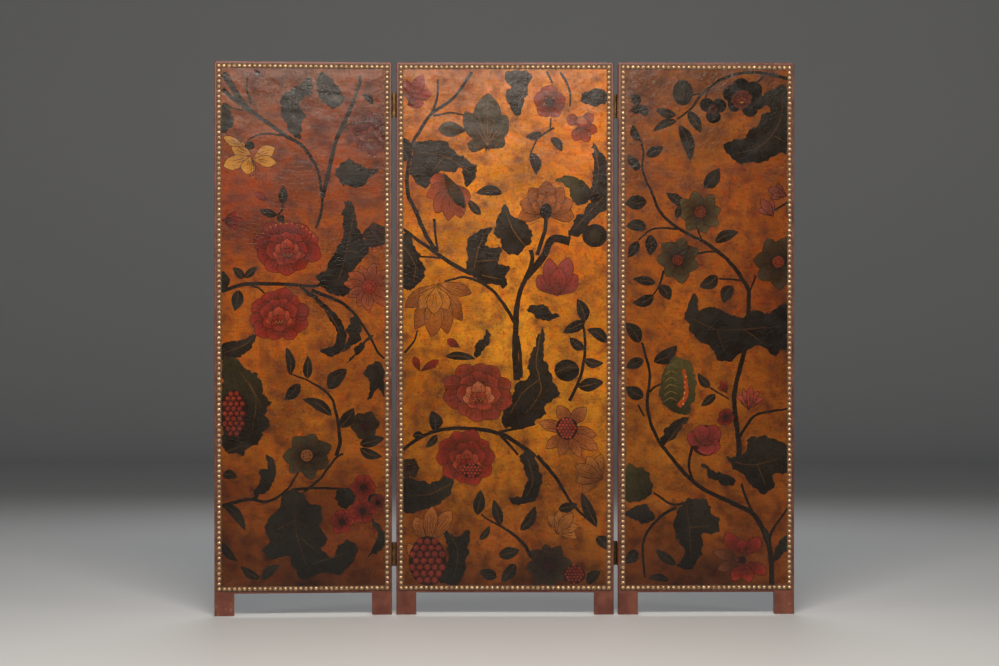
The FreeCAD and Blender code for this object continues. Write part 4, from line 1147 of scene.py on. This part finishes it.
for panel, painting, seed in (("left", left, 3.1), ("centre", centre, 7.7), ("right", right, 12.3)):
    sheet = painted_sheet(f"{panel}_painted_canvas", panel, painting, seed)
    sheet.data.materials.append(painting_finish)
    declare_sheet(sheet, panel, "canvas")

# %% [markdown]
# **The lining.** The back is closed with a plain brown cotton, tacked all round. It is the same kind of
# sheet with nothing painted on it, a little slacker, so the same cut serves with no strokes.

# %% Lining cloth
def lining_cotton(name):
    """Unbleached cotton gone brown with dust: quite rough, with a visible plain weave."""
    material, tree, shader, coords = new_material(name)
    weft = speckle(tree, coords, 1.0, (0.12, 0.12, 1), 2.0)
    warp = speckle(tree, coords, 1.0, (1, 1, 0.12), 2.0)
    dust = speckle(tree, coords, 150, detail=5.0)
    threads = maths(tree, "MULTIPLY", maths(tree, "ADD", weft, warp), 0.5)
    body = blend(tree, between(tree, threads, 0.35, 0.68), "#4E3D2C", "#8A7153")
    body = blend(tree, between(tree, dust, 0.4, 0.7, 0.0, 0.6), body, "#3A2B20", "MULTIPLY")
    tree.links.new(body, shader.inputs["Base Color"])
    shader.inputs["Roughness"].default_value = 0.9
    shader.inputs["Sheen Weight"].default_value = 0.25
    bump(tree, shader, threads, 0.4, 0.7)
    return material


def lining_sheet(name, panel, seed):
    """A lining: the canvas's kind of sheet turned to face the back, with slack between its tacks."""
    sizes = panels[panel]
    low, high = sizes["lining"]
    points, faces, _ = cut_canvas([], low, high)
    flat = np.array([tuple(point) for point in points])
    x, z = flat[:, 0], flat[:, 1]
    inside = np.minimum(np.minimum(x - low[0], high[0] - x), np.minimum(z - low[2], high[2] - z))
    slack = np.array([noise.noise(Vector((a / 140, b / 180, seed))) for a, b in flat])
    out = np.clip(inside / 60, 0, 1) * (0.6 + 0.9 * slack)
    outer = [(a, high[1] + max(0.0, rise), b) for (a, b), rise in zip(flat, out)]
    inner = [(a, low[1] + 0.02, b) for a, b in flat]
    shift = len(outer)
    ends = {}
    for face in faces:
        for a, b in zip(face, face[1:] + face[:1]):
            ends[(a, b)] = True
    edges = [(a, b) for a, b in ends if (b, a) not in ends]
    mesh = bpy.data.meshes.new(name)
    mesh.from_pydata(outer + inner, [], [tuple(face[::-1]) for face in faces]
                     + [tuple(corner + shift for corner in face) for face in faces]
                     + [(a, b, b + shift, a + shift) for a, b in edges])
    mesh.polygons.foreach_set("use_smooth", [k < len(faces) for k in range(len(mesh.polygons))])
    mesh.transform(Matrix.Scale(MM, 4))
    mesh.transform(sizes["place"])
    piece = bpy.data.objects.new(name, mesh)
    bpy.context.scene.collection.objects.link(piece)
    return piece


cotton = lining_cotton("dusty_brown_cotton_lining")
for panel, seed in (("left", 21.0), ("centre", 22.0), ("right", 23.0)):
    sheet = lining_sheet(f"{panel}_lining_cloth", panel, seed)
    sheet.data.materials.append(cotton)
    declare_sheet(sheet, panel, "lining")
print("linings hung")

# %% [markdown]
# **Nails, tacks and braid.** All three repeat along a rectangle, so one Geometry Nodes tree sets them: it
# spaces points along each side, turns a piece to face outwards and along the side, gives it a small tilt of
# its own, as a hammer does, and makes the lot one mesh. The piece itself is turned on a lathe in mesh code,
# or cut as a stitch.

# %% A tree that sets pieces along a path
def along_path_tree():
    """Builds the tree that sets a piece at even steps along each straight run, and gives its input names."""
    tree = bpy.data.node_groups.new("pieces_along_a_path", "GeometryNodeTree")
    sockets = {}
    for name, kind in (("Path", "NodeSocketGeometry"), ("Piece", "NodeSocketObject"),
                       ("Finish", "NodeSocketMaterial"), ("Pitch", "NodeSocketFloat"),
                       ("Tilt", "NodeSocketFloat"), ("Outwards", "NodeSocketVector"),
                       ("Seed", "NodeSocketInt")):
        sockets[name] = tree.interface.new_socket(name, in_out="INPUT", socket_type=kind).identifier
    tree.interface.new_socket("Pieces", in_out="OUTPUT", socket_type="NodeSocketGeometry")
    given = add(tree, "NodeGroupInput").outputs
    curve = add(tree, "GeometryNodeMeshToCurve", {"Mesh": given["Path"]}).outputs[0]
    length = add(tree, "GeometryNodeSplineLength").outputs["Length"]
    steps = add(tree, "ShaderNodeMath", {0: length, 1: given["Pitch"]}, operation="DIVIDE").outputs[0]
    steps = add(tree, "ShaderNodeMath", {0: steps}, operation="ROUND").outputs[0]
    steps = add(tree, "ShaderNodeMath", {0: steps, 1: 1.0}, operation="ADD").outputs[0]
    spaced = add(tree, "GeometryNodeResampleCurve", {"Curve": curve, "Count": steps}).outputs[0]
    points = add(tree, "GeometryNodeCurveToPoints", {"Curve": spaced}, mode="EVALUATED")
    facing = add(tree, "FunctionNodeAxesToRotation", {"Primary Axis": given["Outwards"],
                                                      "Secondary Axis": points.outputs["Tangent"]},
                 primary_axis="Z", secondary_axis="X").outputs[0]
    lean = add(tree, "ShaderNodeVectorMath", {0: (1, 1, 1), "Scale": given["Tilt"]},
               operation="SCALE").outputs[0]
    back = add(tree, "ShaderNodeVectorMath", {0: lean, "Scale": -1.0}, operation="SCALE").outputs[0]
    chance = add(tree, "FunctionNodeRandomValue", {"Min": back, "Max": lean, "Seed": given["Seed"]},
                 data_type="FLOAT_VECTOR").outputs[0]
    turned = add(tree, "FunctionNodeRotateRotation", {"Rotation": facing, "Rotate By": chance},
                 rotation_space="LOCAL").outputs[0]
    single = add(tree, "GeometryNodeMergeByDistance",
                 {"Geometry": points.outputs["Points"], "Distance": MM / 2})
    piece = add(tree, "GeometryNodeObjectInfo", {"Object": given["Piece"]}).outputs["Geometry"]
    placed = add(tree, "GeometryNodeInstanceOnPoints", {"Points": single.outputs[0], "Instance": piece,
                                                        "Rotation": turned}).outputs[0]
    real = add(tree, "GeometryNodeRealizeInstances", {"Geometry": placed}).outputs[0]
    made = add(tree, "GeometryNodeSetMaterial", {"Geometry": real, "Material": given["Finish"]}).outputs[0]
    add(tree, "NodeGroupOutput", {0: made})
    return tree, sockets


path_tree, path_inputs = along_path_tree()


def set_along(name, panel, path, piece, finish, pitch, tilt, outwards, seed):
    """Runs the tree on straight runs of points (mm, square on) and returns the pieces as one plain mesh."""
    spots = [Vector(spot) * MM for run in path for spot in run]
    mesh = bpy.data.meshes.new(name)
    mesh.from_pydata(spots, [(2 * k, 2 * k + 1) for k in range(len(path))], [])
    made = bpy.data.objects.new(name, mesh)
    bpy.context.scene.collection.objects.link(made)
    modifier = made.modifiers.new("pieces", "NODES")
    modifier.node_group = path_tree
    for socket, value in (("Piece", piece), ("Finish", finish), ("Pitch", pitch * MM),
                          ("Tilt", math.radians(tilt)), ("Outwards", outwards), ("Seed", seed)):
        modifier[path_inputs[socket]] = value
    graph = bpy.context.evaluated_depsgraph_get()
    result = bpy.data.meshes.new_from_object(made.evaluated_get(graph))
    made.modifiers.clear()
    made.data = result
    result.name = name
    result.transform(panels[panel]["place"])
    print(name, len(result.polygons), "faces")
    return made


# %% One dome nail, one tack, one stitch of braid
def turned_piece(name, profile, sides=12):
    """A closed shape turned about Z from (radius, height) points in mm that start and end on the axis."""
    spots, faces, rings = [], [], []
    for radius, height in profile:
        if radius == 0:
            rings.append([len(spots)])
            spots.append(Vector((0, 0, height)) * MM)
        else:
            rings.append(list(range(len(spots), len(spots) + sides)))
            spots += [Vector((radius * math.cos(a), radius * math.sin(a), height)) * MM
                      for a in (2 * math.pi * k / sides for k in range(sides))]
    for upper, lower in zip(rings, rings[1:]):
        for k in range(sides):
            after = (k + 1) % sides
            if len(upper) == 1:
                faces.append((upper[0], lower[k], lower[after]))
            elif len(lower) == 1:
                faces.append((upper[k], lower[0], upper[after]))
            else:
                faces.append((upper[k], lower[k], lower[after], upper[after]))
    mesh = bpy.data.meshes.new(name)
    mesh.from_pydata(spots, [], faces)
    mesh.polygons.foreach_set("use_smooth", [True] * len(faces))
    return bpy.data.objects.new(name, mesh)


centre_sizes = panels["centre"]
nails_low, nails_high = square_box("centre_nails", centre_sizes["place"].inverted())
tacks_low, tacks_high = centre_sizes["tacks"]
braid_low, braid_high = centre_sizes["braid"]
BRAID_WIDTH = 14.0
NAIL_RADIUS = (nails_high[0] - nails_low[0]) / 2 - (braid_high[0] - BRAID_WIDTH / 2)
NAIL_RISE = braid_low[1] - nails_low[1]
NAIL_REACH = nails_high[1] - braid_low[1]
TACK_RISE = tacks_high[1] - centre_sizes["lining"][1][1]
TACK_REACH = centre_sizes["lining"][1][1] - tacks_low[1]
TACK_RADIUS = 4.0
print("nail head: radius, rise, mm:", round(float(NAIL_RADIUS), 2), round(float(NAIL_RISE), 2))


def dome(radius, rise, rings):
    """Profile points of a dome from its crown down to just above its rim."""
    ball = (radius ** 2 + rise ** 2) / (2 * rise)
    widest = math.asin(min(1, radius / ball)) if rise < ball else math.pi / 2
    angles = [widest * k / rings for k in range(rings + 1)]
    return [(ball * math.sin(a), ball * math.cos(a) - (ball - rise)) for a in angles]


nail = turned_piece("one_nail", dome(NAIL_RADIUS, NAIL_RISE, 4)[:-1] + [
    (NAIL_RADIUS, 0), (NAIL_RADIUS - 1, -0.15), (0.9, -0.1), (0.9, 3.6 - NAIL_REACH), (0, -NAIL_REACH)])
TACK_BEVEL = 0.6
tack = turned_piece("one_tack", [(0, TACK_RISE), (TACK_RADIUS - TACK_BEVEL, TACK_RISE),
                                 (TACK_RADIUS, TACK_RISE - TACK_BEVEL), (TACK_RADIUS, 0), (0.8, -0.1),
                                 (0, -TACK_REACH)], 10)


def braid_stitch():
    """A chevron of two fat slanting cords, meeting on the braid's middle line."""
    half, thick, pitch, drop = BRAID_WIDTH / 2 - 0.4, 0.6, STITCH_PITCH, 2.6
    spots, faces = [], []
    for end in (-1, 1):
        base = len(spots)
        for share in (0.0, 0.5, 1.0):
            y, x = end * half * share, drop * (1 - share)
            tall = thick * (1.0, 1.0, 0.55)[round(share * 2)]
            spots += [(x - pitch * 0.48, y, -0.4), (x - pitch * 0.3, y, tall * 0.75),
                      (x + pitch * 0.3, y, tall * 0.75), (x + pitch * 0.48, y, -0.4)]
        for k in range(2):
            a, b = base + 4 * k, base + 4 * k + 4
            for j in range(4):
                quad = (a + j, a + (j + 1) % 4, b + (j + 1) % 4, b + j)
                faces.append(quad if end < 0 else quad[::-1])
        caps = [tuple(range(base, base + 4)), tuple(range(base + 11, base + 7, -1))]
        faces += [cap[::-1] for cap in caps] if end < 0 else caps
    mesh = bpy.data.meshes.new("one_stitch")
    mesh.from_pydata([Vector(spot) * MM for spot in spots], [], faces)
    mesh.polygons.foreach_set("use_smooth", [True] * len(faces))
    return bpy.data.objects.new("one_stitch", mesh)


STITCH_PITCH = 3.2
stitch = braid_stitch()
for piece in (nail, tack, stitch):
    bpy.context.scene.collection.objects.link(piece)

# %% [markdown]
# ** Braid.** The tan edging is a flat woven strip with a plait worked on it in silk and cotton. The CAD
# strip stays as its backing and gets a dark cloth finish, which is painted shade down between the cords, and
# the plait is laid on it as real cords, so that its rows catch the light between the nail heads.

# %% Braid finish
def braid_thread(name, pale, dark):
    """Dyed cotton and silk thread: soft, with a slight sheen, mottled dark and pale along its twist. In dark
    colours it makes the backing, painted shade down between the cords.
    """
    material, tree, shader, coords = new_material(name)
    twist = speckle(tree, coords, 0.9, (1, 1, 0.6), 2.0)
    age = speckle(tree, coords, 40, detail=4.0)
    body = blend(tree, between(tree, twist, 0.35, 0.65), dark, pale)
    body = blend(tree, between(tree, age, 0.4, 0.7, 0.0, 0.5), body, "#6A4020", "MULTIPLY")
    tree.links.new(body, shader.inputs["Base Color"])
    shader.inputs["Roughness"].default_value = 0.7
    shader.inputs["Sheen Weight"].default_value = 0.3
    bump(tree, shader, twist, 0.3)
    return material


plait_thread = braid_thread("golden_tan_silk_plait", "#7A4E28", "#3A200E")
# painted shade: the backing's dark colours stand for the shade down between the cords
strip_cloth_in_shade = braid_thread("braid_backing_in_painted_shade", "#4E3018", "#281608")
for panel in BODIES:
    node = nodes[f"{panel}_braid"]
    node.data.materials.clear()
    node.data.materials.append(strip_cloth_in_shade)


# %% Nails, tacks and plait on every panel
def border(low, high, inset, y):
    """Four straight runs round a panel, a given way in from a box."""
    corners = [(low[0] + inset, y, low[2] + inset), (high[0] - inset, y, low[2] + inset),
               (high[0] - inset, y, high[2] - inset), (low[0] + inset, y, high[2] - inset)]
    return list(zip(corners, corners[1:] + corners[:1]))


FRONTWARDS, BACKWARDS = (0, -1, 0), (0, 1, 0)
NAIL_PITCH, TACK_PITCH = 15.0, 50.0
for number, panel in enumerate(BODIES):
    sizes = panels[panel]
    low, high = sizes["braid"]
    body = BODIES[panel]
    nails = set_along(f"{panel}_dome_nails", panel, border(low, high, BRAID_WIDTH / 2, low[1]), nail,
                      nail_brass, NAIL_PITCH, 2.5, FRONTWARDS, 5 + number)
    plait = set_along(f"{panel}_braid_plait", panel, border(low, high, BRAID_WIDTH / 2, low[1]), stitch,
                      plait_thread, STITCH_PITCH, 1.5, FRONTWARDS, 15 + number)
    low, high = sizes["lining"]
    tacks = set_along(f"{panel}_lining_tacks", panel, border(low, high, BRAID_WIDTH / 2, high[1]), tack,
                      tack_steel, TACK_PITCH, 4.0, BACKWARDS, 25 + number)
    for piece, node, slot in ((nails, "nails", "nail_brass"), (plait, None, "braid"),
                              (tacks, "tacks", "tack_steel")):
        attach(piece, body)
        if node:
            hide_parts(f"{panel}_{node}")
for piece in (nail, tack, stitch):
    bpy.data.objects.remove(piece)

# %% [markdown]
# **The room.** A pale floor that curves up into a far wall, and broad soft lights, as in a plain studio:
# one high in front for the shape, a flat one just above the screen's height that lays a sheen on the top of
# the varnish, one each side, and one behind. The camera stands well back with a long lens, level with the
# middle of the screen, so the panels show almost square.

# %% Floor, lights and camera
def light(name, place, aim, width, height, watts, warmth):
    """A soft rectangular light at a place, turned to its aim."""
    data = bpy.data.lights.new(name, "AREA")
    data.shape = "RECTANGLE"
    data.size, data.size_y = width, height
    data.energy = watts
    data.color = linear(warmth)[:3]
    lamp = bpy.data.objects.new(name, data)
    lamp.location = place
    lamp.rotation_euler = (Vector(aim) - Vector(place)).to_track_quat("-Z", "Y").to_euler()
    bpy.context.scene.collection.objects.link(lamp)


FLOOR_HALF, WALL_BEHIND, COVE, WALL_TOP, COVE_STEPS = 14.0, 8.8, 2.4, 8.0, 16
cove_angles = [math.pi / 2 * k / COVE_STEPS for k in range(COVE_STEPS + 1)]
cove = [(WALL_BEHIND + COVE * math.sin(a), COVE - COVE * math.cos(a)) for a in cove_angles]
profile = [(-FLOOR_HALF, 0)] + cove + [(WALL_BEHIND + COVE, WALL_TOP)]
spots = [(x, y, z) for y, z in profile for x in (-FLOOR_HALF, FLOOR_HALF)]
quads = [(2 * k, 2 * k + 1, 2 * k + 3, 2 * k + 2) for k in range(len(profile) - 1)]
floor_mesh = bpy.data.meshes.new("pale_floor")
floor_mesh.from_pydata(spots, [], quads)
floor_mesh.polygons.foreach_set("use_smooth", [True] * len(quads))
floor = bpy.data.objects.new("pale_floor", floor_mesh)
bpy.context.scene.collection.objects.link(floor)
floor_finish, tree, shader, coords = new_material("matt_pale_grey_floor_paint")
shader.inputs["Base Color"].default_value = linear("#B9BBBD")
shader.inputs["Roughness"].default_value = 0.6
floor_mesh.materials.append(floor_finish)

low, high = (Vector(corner) for corner in CAD_BOX)
middle = (low + high) / 2
light("front_softbox", (0.0, -3.4, 3.4), (0, 0, 0.95), 1.6, 1.0, 190, "#FFF4E6")
light("sheen_softbox", (-0.15, -3.0, 1.99), (0, 0, 1.5), 1.5, 0.3, 17, "#FFF4E6")
light("left_softbox", (-4.0, -2.4, 1.8), middle, 1.4, 2.4, 45, "#FFFFFF")
light("right_softbox", (4.0, -2.4, 1.8), middle, 1.4, 2.4, 38, "#FFFFFF")
light("back_softbox", (0.0, 3.6, 3.2), middle, 2.6, 1.4, 60, "#FFFFFF")
world = bpy.data.worlds.new("studio")
world.use_nodes = True
world.node_tree.nodes["Background"].inputs["Color"].default_value = linear("#C6C9CC")
world.node_tree.nodes["Background"].inputs["Strength"].default_value = 0.14
bpy.context.scene.world = world
bpy.context.scene.view_settings.view_transform = "Standard"

IMAGE_WIDTH = 999
DISTANCE, LENS, SENSOR = 8.0, 98.0, 36.0
SCREEN_OFF_CENTRE = 5.5
CAMERA_HEIGHT = 0.86
metre_per_step = DISTANCE * SENSOR / LENS / IMAGE_WIDTH
camera_data = bpy.data.cameras.new("camera")
camera_data.lens, camera_data.sensor_width = LENS, SENSOR
camera = bpy.data.objects.new("camera", camera_data)
camera.location = (middle.x - SCREEN_OFF_CENTRE * metre_per_step, middle.y - DISTANCE, CAMERA_HEIGHT)
aim = Vector((camera.location.x, middle.y, middle.z + SCREEN_OFF_CENTRE * metre_per_step))
camera.rotation_euler = (aim - camera.location).to_track_quat("-Z", "Y").to_euler()
bpy.context.scene.collection.objects.link(camera)
bpy.context.scene.camera = camera

# %% [markdown]
# Last, the CAD box is printed once more: the dressed screen should fill about it, give or take the cloth.

# %% Sizes, and the end
print("CAD box", CAD_BOX)
